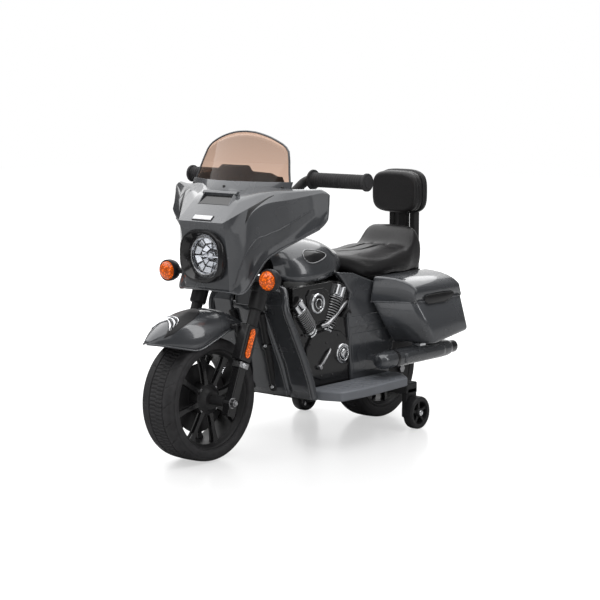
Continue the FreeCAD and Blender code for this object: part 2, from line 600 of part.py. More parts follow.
# Fairing: ruled panels between profiles across the bike; each profile holds six points from the top edge
# to the bottom edge as shares of the fairing's depth and height, at a share of its half width
FAIRING_SHARES = (
    (0.000, ((0.514, 1.018), (0.000, 0.680), (0.017, 0.596), (0.050, 0.311), (0.072, 0.092), (0.077, 0.018))),
    (0.278, ((0.514, 1.018), (0.000, 0.680), (0.039, 0.583), (0.094, 0.311), (0.116, 0.092), (0.122, 0.000))),
    (0.409, ((0.558, 1.018), (0.243, 0.807), (0.193, 0.662), (0.210, 0.399), (0.232, 0.136), (0.249, 0.022))),
    (0.473, ((0.591, 1.013), (0.359, 0.868), (0.271, 0.785), (0.304, 0.618), (0.403, 0.399), (0.481, 0.285))),
    (0.549, ((0.635, 1.004), (0.503, 0.939), (0.381, 0.860), (0.436, 0.684), (0.514, 0.509), (0.575, 0.377))),
    (0.696, ((0.735, 0.996), (0.669, 0.969), (0.608, 0.899), (0.652, 0.750), (0.702, 0.596), (0.735, 0.491))),
    (1.000, ((0.967, 1.004), (0.945, 1.000), (0.923, 0.987), (0.912, 0.882), (0.890, 0.763), (0.857, 0.662))))


def offset_path(points, distance):
    """The path moved sideways by a distance in the Y-Z plane, with mitred corners."""
    moved = []
    normals = []
    for (y0, z0), (y1, z1) in zip(points, points[1:]):
        run = math.hypot(y1 - y0, z1 - z0)
        normals.append(((z0 - z1) / run, (y1 - y0) / run))
    for index, (y, z) in enumerate(points):
        before = normals[max(index - 1, 0)]
        after = normals[min(index, len(normals) - 1)]
        spread = 1 + before[0] * after[0] + before[1] * after[1]
        moved.append((y + distance * (before[0] + after[0]) / spread,
                      z + distance * (before[1] + after[1]) / spread))
    return moved


def fairing_wire(x_share, shares):
    x = x_share * d.fairing_half_width
    outer = [(back(d.fairing_nose_back + depth * d.fairing_depth), d.fairing_chin_z + rise * d.fairing_height)
             for depth, rise in shares]
    inner = offset_path(outer, d.wall)
    return polygon([(x, y, z) for y, z in outer] + [(x, y, z) for y, z in reversed(inner)])


fairing_rows = [(-x, shares) for x, shares in reversed(FAIRING_SHARES[1:])] + list(FAIRING_SHARES)
fairing_shape = loft([fairing_wire(x, shares) for x, shares in fairing_rows], True)

# Bonnet plane: from the nose edge up to the windshield
NOSE, TOP = FAIRING_SHARES[0][1][1], FAIRING_SHARES[0][1][0]
bonnet_angle = math.degrees(math.atan2((TOP[1] - NOSE[1]) * d.fairing_height,
                                       (TOP[0] - NOSE[0]) * d.fairing_depth))
BONNET = FreeCAD.Placement(V(0, back(d.fairing_nose_back), d.fairing_chin_z + NOSE[1] * d.fairing_height),
                           FreeCAD.Rotation(V(*X_AXIS), bonnet_angle))


strip_front = -d.strip_thickness - d.fit_gap
dash_front = d.screen_thickness + d.fit_gap
screen_top_z = d.screen_base_z + d.screen_height
strip_top_z = d.screen_base_z + d.strip_height
dash_low_z = d.screen_base_z - d.dash_drop


def screen_sheet(front, thickness, low, high):
    """A sheet that follows the windshield's curve, front millimetres behind its face, between two heights."""
    wires = []
    for z in (dash_low_z - 2 * d.overrun, screen_top_z + d.overrun):
        share = (z - d.screen_base_z) / d.screen_height
        middle = back(d.screen_base_back + share * (d.screen_top_back - d.screen_base_back)) + front
        side = back(d.screen_side_back + share * (d.screen_top_side_back - d.screen_side_back)) + front
        half = d.screen_half_width
        rear_middle = middle + thickness
        rear_side = side + thickness
        wires.append(Part.Wire([
            arc((-half, side, z), (0, middle, z), (half, side, z)),
            line((half, side, z), (half, rear_side, z)),
            arc((half, rear_side, z), (0, rear_middle, z), (-half, rear_side, z)),
            line((-half, rear_side, z), (-half, side, z))]))
    slab = Part.makeBox(2 * d.fairing_half_width, 2 * d.wheelbase, high - low,
                        V(-d.fairing_half_width, -d.wheelbase, low))
    return loft(wires, True).common(slab)


room = screen_sheet(strip_front - d.fit_gap, d.fairing_depth, dash_low_z - d.overrun, strip_top_z + d.overrun)
bezel_y = back(d.bezel_front_back)


def oval(half_width, half_height, start, length):
    """An elliptical cylinder along Y about the headlamp's centre."""
    ring = Part.Ellipse(V(0, 0, 0), half_width, half_height).toShape()
    shape = Part.Face(Part.Wire(ring)).extrude(V(0, 0, length))
    shape.Placement = FreeCAD.Placement(V(0, start, d.headlamp_z), FreeCAD.Rotation(V(*X_AXIS), -90))
    return shape


lamp_opening = oval(d.bezel_half_width, d.bezel_half_height, bezel_y - d.overrun,
                    2 * d.overrun + d.bezel_length)
stalk_y = back(d.signal_back + d.signal_lens_length + d.stalk_lead)
stalk_room = Part.makeCylinder(d.stalk_radius + d.fit_gap, 2 * d.signal_x,
                               V(-d.signal_x, stalk_y, d.signal_z), V(*X_AXIS))
scoop_box = Part.makeBox(d.scoop_width, d.scoop_length, d.scoop_height + d.wall / 2,
                         V(-d.scoop_width / 2, d.scoop_rise, -d.wall / 2))
scoop_mouth = Part.makeBox(d.scoop_width - 2 * d.scoop_wall, d.scoop_length - d.scoop_wall + d.overrun,
                           d.scoop_height - d.scoop_wall / 2,
                           V(d.scoop_wall - d.scoop_width / 2, d.scoop_rise - d.overrun, 0))
scoop = scoop_box.cut(scoop_mouth)
scoop.Placement = BONNET
fairing_shape = fairing_shape.cut(lamp_opening).cut(room).cut(stalk_room).fuse(scoop.cut(room))
node("fairing_shell", feature("fairing_shell", fairing_shape))

# Running light on the bonnet, just above the nose edge
running_light = block("running_light", "running_light_width", "running_light_height",
                      "running_light_thickness", (-d.running_light_width / 2, d.running_light_rise, 0), BONNET)
node("running_light", running_light)

# Windshield with a rounded top, its base strip and the dash panel behind it
SCREEN_SHARES = ((0.845, 0.58), (0.78, 0.70), (0.64, 0.788), (0.0, 1.0))
corner, shoulder, edge, crest = [
    (x * d.screen_half_width, back(0), d.screen_base_z + z * d.screen_height) for x, z in SCREEN_SHARES]


def flipped(point):
    return (-point[0], point[1], point[2])


foot = (d.screen_half_width, back(0), d.screen_base_z)
screen_outline = Part.Wire([
    line(flipped(foot), foot), line(foot, corner), arc(corner, shoulder, edge),
    arc(edge, crest, flipped(edge)), arc(flipped(edge), flipped(shoulder), flipped(corner)),
    line(flipped(corner), flipped(foot))])
screen_prism = Part.Face(screen_outline).extrude(V(0, d.fairing_depth, 0))
node("windshield", feature("windshield", screen_sheet(
    0, d.screen_thickness, d.screen_base_z, screen_top_z + d.overrun).common(screen_prism)))
node("windshield_strip", feature("windshield_strip", screen_sheet(
    strip_front, d.strip_thickness, d.screen_base_z, strip_top_z)))

# Dash panel: a stepped sheet behind the windshield with a console for the switches
DASH_SHARES = ((1.0, 0.0), (1.0, 0.45), (0.86, 0.80), (0.42, 0.87), (0.30, 1.0))
dash_half = d.screen_half_width - d.dash_inset
dash_high = d.dash_rise + d.dash_drop
dash_right = [(x * dash_half, back(0), dash_low_z + z * dash_high) for x, z in DASH_SHARES]
dash_prism = prism(dash_right + [flipped(point) for point in reversed(dash_right)], (0, d.fairing_depth, 0))
dash_sheet = screen_sheet(dash_front, d.dash_thickness, dash_low_z, dash_low_z + dash_high).common(dash_prism)
console_low = d.screen_base_z - d.console_drop
console_top = console_low + d.console_height
console_y = back(d.screen_base_back) + dash_front + d.dash_thickness / 2
console = Part.makeBox(d.console_width, d.console_depth, d.console_height,
                       V(-d.console_width / 2, console_y, console_low))
console = console.common(screen_sheet(dash_front, d.fairing_depth, console_low, console_top))
button_y = console_y + d.console_depth * BUTTON_PLACE_SHARE
button_low = console_top + d.button_proud - d.button_length
rocker_depth = d.rocker_height - d.rocker_proud
rocker_pin_z = console_top - rocker_depth / 2
rocker_y = button_y - d.rocker_length / 2
rocker_well = Part.makeBox(
    d.rocker_width + 2 * d.fit_gap, d.rocker_length + 2 * d.rocker_clearance,
    rocker_depth + d.rocker_clearance + d.overrun,
    V(-d.rocker_width / 2 - d.fit_gap, rocker_y - d.rocker_clearance,
      console_top - rocker_depth - d.rocker_clearance))
rocker_pin_half = d.rocker_width / 2 + d.rocker_pin_reach
rocker_pin_room = Part.makeCylinder(d.rocker_pin_radius + d.run_fit, 2 * rocker_pin_half + 2 * d.fit_gap,
                                    V(-rocker_pin_half - d.fit_gap, button_y, rocker_pin_z), V(*X_AXIS))
dash_shape = dash_sheet.fuse(console).cut(rocker_well).cut(rocker_pin_room)
for side in (-1, 1):
    well = Part.makeCylinder(d.button_radius + d.fit_gap, d.button_length + d.button_travel + d.overrun,
                             V(side * d.button_spacing, button_y, button_low - d.button_travel - d.fit_gap))
    dash_shape = dash_shape.cut(well)
node("dash_panel", feature("dash_panel", dash_shape))
node("start_button", cylinder("start_button", "button_radius", "button_length",
                              (d.button_spacing, button_y, button_low)))
node("horn_button", cylinder("horn_button", "button_radius", "button_length",
                             (-d.button_spacing, button_y, button_low)))
rocker_cap = block("rocker_cap", "rocker_width", "rocker_length", "rocker_height",
                   (-d.rocker_width / 2, rocker_y, console_top - rocker_depth))
rocker_pin = cylinder("rocker_pin", "rocker_pin_radius", "rocker_width + 2 * rocker_pin_reach",
                      (-rocker_pin_half, button_y, rocker_pin_z), X_AXIS)
node("direction_switch", fuse("direction_switch", rocker_cap, rocker_pin))

# Headlamp: a black oval bezel, a bright bowl behind it and a clear lens on the bowl's rim
bezel_body = oval(d.bezel_half_width - d.fit_gap, d.bezel_half_height - d.fit_gap, bezel_y, d.bezel_length)
bezel_mouth = d.bezel_half_height - d.bezel_rim
bezel_throat = d.headlamp_radius + d.fit_gap
bezel_hole = Part.makeCone(bezel_mouth, bezel_throat, d.bezel_length, V(0, bezel_y, d.headlamp_z), V(*Y_AXIS))
node("headlamp_bezel", feature("headlamp_bezel", bezel_body.cut(bezel_hole)))


def turned_about_y(points, y_base, z):
    """A solid turned about a line along Y from (radius, depth) points; three-point items are arcs."""
    edges = []
    for item in points:
        spots = [(radius, y_base + depth, z) for radius, depth in item]
        edges.append(line(*spots) if len(spots) == 2 else arc(*spots))
    return Part.Face(Part.Wire(edges)).revolve(V(0, 0, z), V(*Y_AXIS), 360)


bowl_lip = d.headlamp_radius - d.bowl_wall
bowl_boss = d.headlamp_radius / 2
bowl_floor = d.bowl_depth - d.bowl_wall
flange_edge = d.headlamp_radius + d.bowl_flange
node("headlamp_bowl", feature("headlamp_bowl", turned_about_y((
    ((0, bowl_floor), (bowl_lip * BOWL_ARC_SHARES[0], bowl_floor * BOWL_ARC_SHARES[1]), (bowl_lip, 0)),
    ((bowl_lip, 0), (flange_edge, 0)), ((flange_edge, 0), (flange_edge, d.bowl_flange_thickness)),
    ((flange_edge, d.bowl_flange_thickness), (d.headlamp_radius, d.bowl_flange_thickness)),
    ((d.headlamp_radius, d.bowl_flange_thickness), (bowl_boss, d.bowl_depth)),
    ((bowl_boss, d.bowl_depth), (0, d.bowl_depth)), ((0, d.bowl_depth), (0, bowl_floor))),
    back(bowl_front_back), d.headlamp_z)))


def dome(radius, thickness, crown):
    """Outline of a disc with a domed front, its back at depth zero."""
    middle = (radius * DOME_ARC_SHARES[0], -thickness - crown * DOME_ARC_SHARES[1])
    return (((0, -thickness - crown), middle, (radius, -thickness)),
            ((radius, -thickness), (radius, 0)), ((radius, 0), (0, 0)), ((0, 0), (0, -thickness - crown)))


node("headlamp_lens", feature("headlamp_lens", turned_about_y(
    dome(d.headlamp_radius, d.lens_thickness, d.lens_crown), back(bowl_front_back), d.headlamp_z)))

# Turn signals: a cup on a stalk through the fairing's side, with a domed lens
cup_y = back(d.signal_back + d.signal_lens_length)
cup = cylinder("signal_cup", "signal_radius", "signal_cup_length", (d.signal_x, cup_y, d.signal_z), Y_AXIS)
stalk = cylinder("signal_stalk", "stalk_radius", "stalk_reach",
                 (d.signal_x - d.stalk_reach, stalk_y, d.signal_z), X_AXIS)
node("signal_housings", pair("signal_housings", fuse("signal_housing", cup, stalk)))
lens_radius = d.signal_radius - d.signal_lens_inset
signal_lens = turned_about_y(dome(lens_radius, d.signal_lens_length / 2, d.signal_lens_length / 2), cup_y, 0)
lens_feature = feature("signal_lens", signal_lens)
lens_feature.Placement = FreeCAD.Placement(V(d.signal_x, 0, d.signal_z), FreeCAD.Rotation())
node("signal_lenses", pair("signal_lenses", lens_feature))

# Steering bushes: flanged sleeves at both ends of the head tube
bush_outer = d.stem_radius + d.run_fit + d.bush_wall
head_low = crown_top + d.hub_play + d.bush_flange
head_high = d.clamp_low - d.hub_play - d.bush_flange
bushes = []
for side, seat in ((1, head_low), (-1, head_high)):
    tube = Part.makeCylinder(bush_outer, d.bush_length, V(0, 0, seat), V(0, 0, side))
    flange = Part.makeCylinder(bush_outer + d.bush_flange_width, d.bush_flange, V(0, 0, seat), V(0, 0, -side))
    bore = Part.makeCylinder(d.stem_radius + d.run_fit, 2 * d.overrun, V(0, 0, seat - d.overrun))
    bush = feature(f"bush_{len(bushes)}", tube.fuse(flange).cut(bore).removeSplitter())
    bush.Placement = STEER
    bushes.append(bush)
node("steering_bushes", group("steering_bushes", *bushes))

# The shield frame is the plane of the leg shields, leaning back towards the floor; the crest frame starts on
# the same edge and leans back towards the top
shield_edge = V(0, back(d.shield_top_back), d.shield_top_z)
SHIELD = FreeCAD.Placement(shield_edge, FreeCAD.Rotation(V(*X_AXIS), d.shield_angle))
CREST = FreeCAD.Placement(shield_edge, FreeCAD.Rotation(V(*X_AXIS), -d.shield_crest_angle))
lean = math.radians(d.shield_angle)


def shield_drop(z, y):
    """Distance down the shield plane to a height, for a point y behind its face."""
    return (d.shield_top_z + y * math.sin(lean) - z) / math.cos(lean)


def beam(name, half_width, front_back, rear_back, low, high):
    """A box across the middle plane between two distances behind the front axle."""
    return feature(name, Part.makeBox(2 * half_width, rear_back - front_back, high - low,
                                      V(-half_width, back(front_back), low)))


def side_prism(points, inner_x, thickness):
    """A plate on the left side from points given as (distance behind the front axle, height)."""
    return prism([(inner_x, back(along), z) for along, z in points], (thickness, 0, 0))


def both_sides(shape):
    return shape.fuse(shape.mirror(V(0, 0, 0), V(*X_AXIS)))


# Places that follow the rear axle, the tank and the seat
seat_front_back = d.tank_front_back + d.tank_length + d.tank_seat_gap
seat_rear_back = seat_front_back + d.seat_length
bracket_front_back = seat_rear_back + d.seat_gap
backrest_back = bracket_front_back - d.backrest_overhang
rail_rear_back = backrest_back + d.pad_thickness + d.shell_thickness + d.tongue_thickness
well_front_back = rear_axle_back - d.rear_wheel_radius - d.well_gap
wing_rear_back = rear_axle_back + d.rail_wing_tail

# Main frame: head tube, neck, post, seat rail, floor pan, front wall and rear plates in one welded piece
head_tube = cylinder("head_tube", "head_tube_radius",
                     "clamp_low - crown_low - crown_thickness - 2 * (hub_play + bush_flange)",
                     (0, 0, head_low), Z_AXIS, STEER)
neck_top = d.neck_low_z + d.neck_height
neck_middle = (d.neck_low_z + neck_top) / 2 - d.front_wheel_radius
neck_front_back = d.steer_offset + neck_middle * math.tan(math.radians(d.rake_angle))
neck = beam("neck", d.neck_half_width, neck_front_back, d.neck_rear_back, d.neck_low_z, neck_top)
pan_top = d.pan_low_z + d.pan_thickness
post = beam("post", d.neck_half_width, d.post_back, d.post_back + d.post_length, pan_top, d.neck_low_z)
rail_low = d.rail_top_z - d.rail_thickness
rail = beam("rail", d.rail_half_width, d.post_back, rail_rear_back, rail_low, d.rail_top_z)
pan = beam("pan", d.pan_half_width, d.pan_front_back, rear_axle_back - d.pan_lead, d.pan_low_z, pan_top)
well = beam("well", d.well_half_width, well_front_back, rail_rear_back, 0, rail_low)
wall_drop = shield_drop(d.pan_low_z, d.shield_wall)
front_wall = feature("front_wall", Part.makeBox(
    2 * d.front_wall_half_width, d.front_wall_thickness, wall_drop - d.front_wall_drop,
    V(-d.front_wall_half_width, d.shield_wall, -wall_drop)))
front_wall.Placement = SHIELD
plate_front_back = rear_axle_back - d.plate_lead
plate_foot_back = rear_axle_back - d.plate_foot_lead
plate_rear_back = rear_axle_back + d.plate_tail
plate_knee_z = d.rear_wheel_radius + d.plate_axle_margin
rear_plates = feature("rear_plates", both_sides(side_prism((
    (plate_front_back, d.pan_low_z), (plate_foot_back, d.plate_low_z), (plate_rear_back, d.plate_low_z),
    (plate_rear_back, plate_knee_z), (wing_rear_back, rail_low), (plate_front_back, rail_low)),
    d.plate_inner_x, d.plate_thickness)))
plate_outer_x = d.plate_inner_x + d.plate_thickness
wing = beam("rail_wing", plate_outer_x, rear_axle_back - d.rail_wing_lead, wing_rear_back, rail_low,
            d.rail_top_z)
hangers = feature("hangers", both_sides(Part.makeBox(
    d.bag_inner_x - plate_outer_x, d.hanger_length, d.hanger_height,
    V(plate_outer_x, back(rear_axle_back), d.hanger_low_z))))
head_bore = feature("head_bore", Part.makeCylinder(
    bush_outer + d.run_fit, head_high - head_low, V(0, 0, head_low)))
head_bore.Placement = STEER
axle_bore = cylinder("axle_bore", "axle_radius + run_fit", "2 * pan_half_width",
                     (-d.pan_half_width, *rear_axle_at[1:]), X_AXIS)
pan_open = cut("pan_open", pan, well)
frame_body = fuse("frame_body", head_tube, neck, post, rail, pan_open, front_wall, rear_plates, wing, hangers)
node("main_frame", cut("main_frame", frame_body, head_bore, axle_bore))

# Leg shields: sloping plates that bend back at the top, with a round rib down the outer edge
foot_drop = shield_drop(d.shield_foot_z, 0)
shield_plate = prism([
    (d.shield_inner_top_x, 0, 0), (d.shield_outer_top_x, 0, 0), (d.shield_outer_foot_x, 0, -foot_drop),
    (d.shield_inner_foot_x, 0, -foot_drop)], (0, d.shield_wall, 0))
shield_plate.Placement = SHIELD
crest_inner_x = d.shield_inner_top_x + d.shield_wall
crest_plate = prism([
    (crest_inner_x, 0, 0), (d.shield_outer_top_x, 0, 0), (d.shield_crest_x, 0, d.shield_crest_rise),
    (crest_inner_x, 0, d.shield_crest_rise)], (0, d.shield_wall, 0))
crest_plate.Placement = CREST
half_wall = d.shield_wall / 2
rib_share = 1 - d.rib_rise / foot_drop
rib_foot_x = d.shield_outer_top_x + rib_share * (d.shield_outer_foot_x - d.shield_outer_top_x)
rib_foot = SHIELD.multVec(V(rib_foot_x, half_wall, -rib_share * foot_drop))
rib_knee = SHIELD.multVec(V(d.shield_outer_top_x, half_wall, 0))
rib_top = CREST.multVec(V(d.shield_crest_x, half_wall, d.shield_crest_rise))
rib_path = bent_wire([rib_foot, rib_knee, rib_top], d.rib_bend_radius)
rib_section = Part.Wire(Part.makeCircle(d.rib_radius, rib_foot, rib_knee - rib_foot))
shield_rib = rib_path.makePipeShell([rib_section], True, False)
leg_shield = feature("leg_shield", shield_plate.fuse(crest_plate).fuse(shield_rib).removeSplitter())
node("leg_shields", pair("leg_shields", leg_shield))

# Front cowl: the panel between the leg shields and the cover under the neck
cowl_top_x = d.shield_inner_top_x - d.fit_gap
cowl_foot_x = d.shield_inner_foot_x - d.fit_gap
cowl_plate = feature("cowl_plate", prism([
    (-cowl_top_x, 0, 0), (cowl_top_x, 0, 0), (cowl_foot_x, 0, -foot_drop), (-cowl_foot_x, 0, -foot_drop)],
    (0, d.shield_wall, 0)))
cowl_plate.Placement = SHIELD
neck_cover = block("neck_cover", "2 * neck_cover_half_width", "neck_cover_length", "neck_cover_height",
                   (-d.neck_cover_half_width, back(d.neck_cover_back), d.neck_cover_low_z))
node("front_cowl", fuse("front_cowl", cowl_plate, neck_cover))

# Down tubes: one down each side of the cowl, closing in towards the floor
tube_run = V(d.down_tube_foot_x - d.down_tube_top_x, 0, -foot_drop)
tube_step = tube_run * (d.rib_rise / foot_drop)
tube_start = V(d.down_tube_top_x, -d.down_tube_radius - d.fit_gap, 0) + tube_step
down_tube = feature("down_tube", Part.makeCylinder(
    d.down_tube_radius, tube_run.Length - tube_step.Length, tube_start, tube_run))
down_tube.Placement = SHIELD
node("down_tubes", pair("down_tubes", down_tube))

# Tank cover: a rounded shell open below; each row holds its place along the length, half width, crest and
# lower edge as shares of the tank's own sizes
TANK_SHARES = (
    (0.00, 0.56, 0.76, 0.17), (0.10, 0.83, 0.89, 0.04), (0.32, 0.98, 0.98, 0.00), (0.56, 1.00, 1.00, 0.02),
    (0.77, 0.93, 0.91, 0.11), (1.00, 0.67, 0.68, 0.19))
tank_height = d.tank_crest_z - d.tank_low_z


def tank_rows(inset):
    """Rows of the tank, drawn in at both ends by an inset."""
    rows = []
    for along, half, crest, low in TANK_SHARES:
        y = back(d.tank_front_back + inset + along * (d.tank_length - 2 * inset))
        rows.append((y, half * d.tank_half_width, d.tank_low_z + low * tank_height,
                     d.tank_low_z + crest * tank_height))
    return rows


tank_outer = arched_solid(tank_rows(0), 0, 0)
tank_inner = arched_solid(tank_rows(d.wall), -d.wall, d.wall)
neck_room = Part.makeBox(2 * (d.neck_half_width + d.fit_gap), d.neck_rear_back - neck_front_back + d.fit_gap,
                         neck_top, V(-d.neck_half_width - d.fit_gap, back(neck_front_back), 0))
tank_rib = Part.makeBox(2 * d.neck_half_width, d.tank_rib_length, d.tank_crest_z - neck_top,
                        V(-d.neck_half_width, back(d.tank_rib_back), neck_top))
tank_shape = tank_outer.cut(tank_inner).cut(neck_room).fuse(tank_rib.common(tank_outer))
node("tank_cover", feature("tank_cover", tank_shape.removeSplitter()))

# Side panels: open trays whose outlines run from the pan up to the seat
SIDE_SHARES = (
    (0.230, 0.000), (0.811, 0.000), (1.000, 0.612), (1.000, 0.827), (0.602, 0.871), (0.459, 0.914),
    (0.254, 0.975), (0.000, 1.000), (0.205, 0.799), (0.156, 0.647))
side_length = d.side_rear_back - d.side_front_back
side_height = d.side_top_z - pan_top
side_points = [(d.side_front_back + along * side_length, pan_top + rise * side_height)
               for along, rise in SIDE_SHARES]
side_face = Part.Face(polygon([(d.side_inner_x, back(along), z) for along, z in side_points]))
side_depth = d.side_outer_x - d.side_inner_x
side_room = side_face.makeOffset2D(-d.side_wall, 2).extrude(V(side_depth - d.side_wall, 0, 0))
tank_room = arched_solid(tank_rows(-d.fit_gap), d.fit_gap, d.fit_gap)
hanger_room = Part.makeBox(
    d.bag_inner_x - plate_outer_x, d.hanger_length + 2 * d.side_clear, d.hanger_height + 2 * d.side_clear,
    V(plate_outer_x, back(rear_axle_back) - d.side_clear, d.hanger_low_z - d.side_clear))
nut_room = Part.makeCylinder(d.axle_nut_radius + d.side_clear, side_depth,
                             V(d.side_inner_x, *rear_axle_at[1:]), V(*X_AXIS))
side_panel = side_face.extrude(V(side_depth, 0, 0))
for room_shape in (side_room, tank_room, hanger_room, nut_room):
    side_panel = side_panel.cut(room_shape)
left_side_panel = feature("left_side_panel", side_panel)
socket_at = (-d.side_outer_x, back(d.socket_back), d.socket_z)
socket_room = cylinder("socket_room", "socket_barrel_radius + fit_gap", "side_outer_x - side_inner_x",
                       socket_at, X_AXIS)
right_side_panel = cut("right_side_panel", mirrored("plain_right_panel", left_side_panel), socket_room)
node("side_panels", group("side_panels", left_side_panel, right_side_panel))

# Engine covers: flat panels ahead of the side panels
ENGINE_SHARES = (
    (0.219, 0.000), (1.000, 0.000), (1.000, 0.853), (0.702, 1.000), (0.000, 0.984), (0.000, 0.736))
engine_height = d.engine_top_z - pan_top
engine_points = [(d.engine_front_back + along * d.engine_length, pan_top + rise * engine_height)
                 for along, rise in ENGINE_SHARES]
side_grown = side_face.makeOffset2D(d.side_clear, 2).extrude(V(side_depth, 0, 0))
engine_cover = side_prism(engine_points, d.engine_inner_x, d.engine_thickness).cut(side_grown)
node("engine_covers", pair("engine_covers", feature("engine_cover", engine_cover)))

# Engine relief: two half-round cylinders in a V and two round covers on each engine cover
engine_outer_x = d.engine_inner_x + d.engine_thickness
trim = []
for foot_back, length, angle in (
        (d.cylinder_front_back, d.front_cylinder_length, -d.front_cylinder_tilt),
        (d.cylinder_rear_back, d.rear_cylinder_length, d.rear_cylinder_tilt)):
    tilt = math.radians(angle)
    start = V(engine_outer_x, back(foot_back), d.cylinder_foot_z)
    barrel = Part.makeCylinder(d.cylinder_radius, length, start, V(0, math.sin(tilt), math.cos(tilt)))
    behind = Part.makeBox(d.overrun, 2 * d.engine_length, d.engine_top_z,
                          V(engine_outer_x - d.overrun, back(d.engine_front_back - d.engine_length / 2), 0))
    trim.append(feature(f"barrel_{len(trim)}", barrel.cut(behind)))
trim.append(cylinder("round_cover", "round_cover_radius", "round_cover_height",
                     (engine_outer_x, back(d.round_cover_back), d.round_cover_z), X_AXIS))
trim.append(cylinder("gear_cover", "gear_cover_radius", "round_cover_height",
                     (engine_outer_x, back(d.gear_cover_back), d.gear_cover_z), X_AXIS))
node("engine_trim", group("engine_trim", *trim, *[mirrored(item.Name + "_right", item) for item in trim]))

# Seat base and cushion; each cushion row holds its place along the length, half width, underside and top as
# shares of the seat's own sizes
seat_low = d.rail_top_z + d.seat_base_thickness
seat_base_front = seat_front_back + d.seat_base_lead
seat_base_rear = seat_rear_back - d.seat_base_inset
node("seat_base", beam("seat_base", d.seat_base_half_width, seat_base_front, seat_base_rear, d.rail_top_z,
                       seat_low))
SEAT_SHARES = (
    (0.000, 0.56, 0.23, 0.60), (0.099, 0.77, 0.12, 0.57), (0.210, 0.91, 0.00, 0.55),
    (0.433, 1.00, 0.00, 0.53), (0.688, 0.96, 0.00, 0.57), (0.790, 0.91, 0.00, 0.66),
    (0.860, 0.84, 0.00, 0.96), (0.943, 0.78, 0.00, 1.00), (1.000, 0.68, 0.00, 0.85))
CUSHION_SHARES = (
    (0.90, 0.00), (0.985, 0.28), (1.00, 0.50), (0.94, 0.78), (0.76, 0.94), (0.40, 0.99), (0.00, 1.00))


def cushion_wire(half_width, low, high, y):
    """A cushion's cross-section: drawn in at the bottom, full at the sides and crowned on top."""
    left = [(-x * half_width, y, low + z * (high - low)) for x, z in CUSHION_SHARES]
    right = [(-x, y, z) for x, y, z in reversed(left[:-1])]
    points = left + right
    return Part.Wire([spline(points), line(points[-1], points[0])])


seat_height = d.seat_hump_z - seat_low
cushion = loft([cushion_wire(half * d.seat_half_width, seat_low + low * seat_height,
                             seat_low + high * seat_height, back(seat_front_back + along * d.seat_length))
                for along, half, low, high in SEAT_SHARES])
under_seat = Part.makeBox(2 * d.seat_half_width + 2 * d.overrun, d.seat_length, seat_low,
                          V(-d.seat_half_width - d.overrun, back(seat_base_front), 0))
cushion = cushion.cut(under_seat)
channel_z = d.seat_dip_z + d.channel_radius - d.channel_depth
channel_length = d.seat_length - d.channel_lead - d.channel_tail
for side in (-1, 1):
    x = side * d.channel_x
    y = back(seat_front_back + d.channel_lead)
    groove = Part.makeCylinder(d.channel_radius, channel_length, V(x, y, channel_z), V(*Y_AXIS))
    for end in (y, y + channel_length):
        groove = groove.fuse(Part.makeSphere(d.channel_radius, V(x, end, channel_z)))
    cushion = cushion.cut(groove)
node("seat_cushion", feature("seat_cushion", cushion))


# Backrest: a padded front, a stiff back and a slotted post on the seat rail
def rounded_wire(share, y):
    """The backrest's outline drawn in by a share at one depth."""
    half = d.backrest_half_width * share
    height = d.backrest_height * share
    middle_z = d.backrest_low_z + d.backrest_height / 2
    low, high = middle_z - height / 2, middle_z + height / 2
    round_by = d.backrest_corner * share
    box = Part.makeBox(2 * half, d.wall, height, V(-half, y, low))
    along_y = [edge for edge in box.Edges
               if abs(edge.tangentAt(edge.FirstParameter).y) > math.cos(math.pi / 4)]
    rounded = box.makeFillet(round_by, along_y)
    front = min(rounded.Faces, key=lambda face: (abs(face.CenterOfMass.y - y), -face.Area))
    return front.OuterWire


PAD_SHARES = ((1.00, 0.94), (0.72, 1.00), (0.40, 0.98), (0.14, 0.88), (0.00, 0.66))
pad_front = back(backrest_back)
pad_rear = pad_front + d.pad_thickness
shell_rear = pad_rear + d.shell_thickness
node("backrest_pad", feature("backrest_pad", loft(
    [rounded_wire(share, pad_front + depth * d.pad_thickness) for depth, share in PAD_SHARES])))
node("backrest_shell", feature("backrest_shell", loft(
    [rounded_wire(1, pad_rear), rounded_wire(SHELL_BACK_SHARE, shell_rear)], True)))
bracket_front = back(bracket_front_back)
bracket_rear = shell_rear + d.tongue_thickness
post_body = feature("post_body", Part.makeBox(
    2 * d.post_half_width, bracket_rear - bracket_front, d.backrest_low_z - d.rail_top_z,
    V(-d.post_half_width, bracket_front, d.rail_top_z)))
tongue = block("tongue", "2 * post_half_width", "tongue_thickness", "tongue_height",
               (-d.post_half_width, shell_rear, d.backrest_low_z))
slots = [feature(f"post_slot_{index}", Part.makeBox(
    d.post_slot_width, d.tongue_thickness, d.post_slot_height,
    V(x - d.post_slot_width / 2, bracket_rear - d.post_slot_depth, d.post_slot_z)))
    for index, x in enumerate((-d.post_slot_x, d.post_slot_x))]
node("backrest_bracket", cut("backrest_bracket", fuse("bracket_solid", post_body, tongue), *slots))

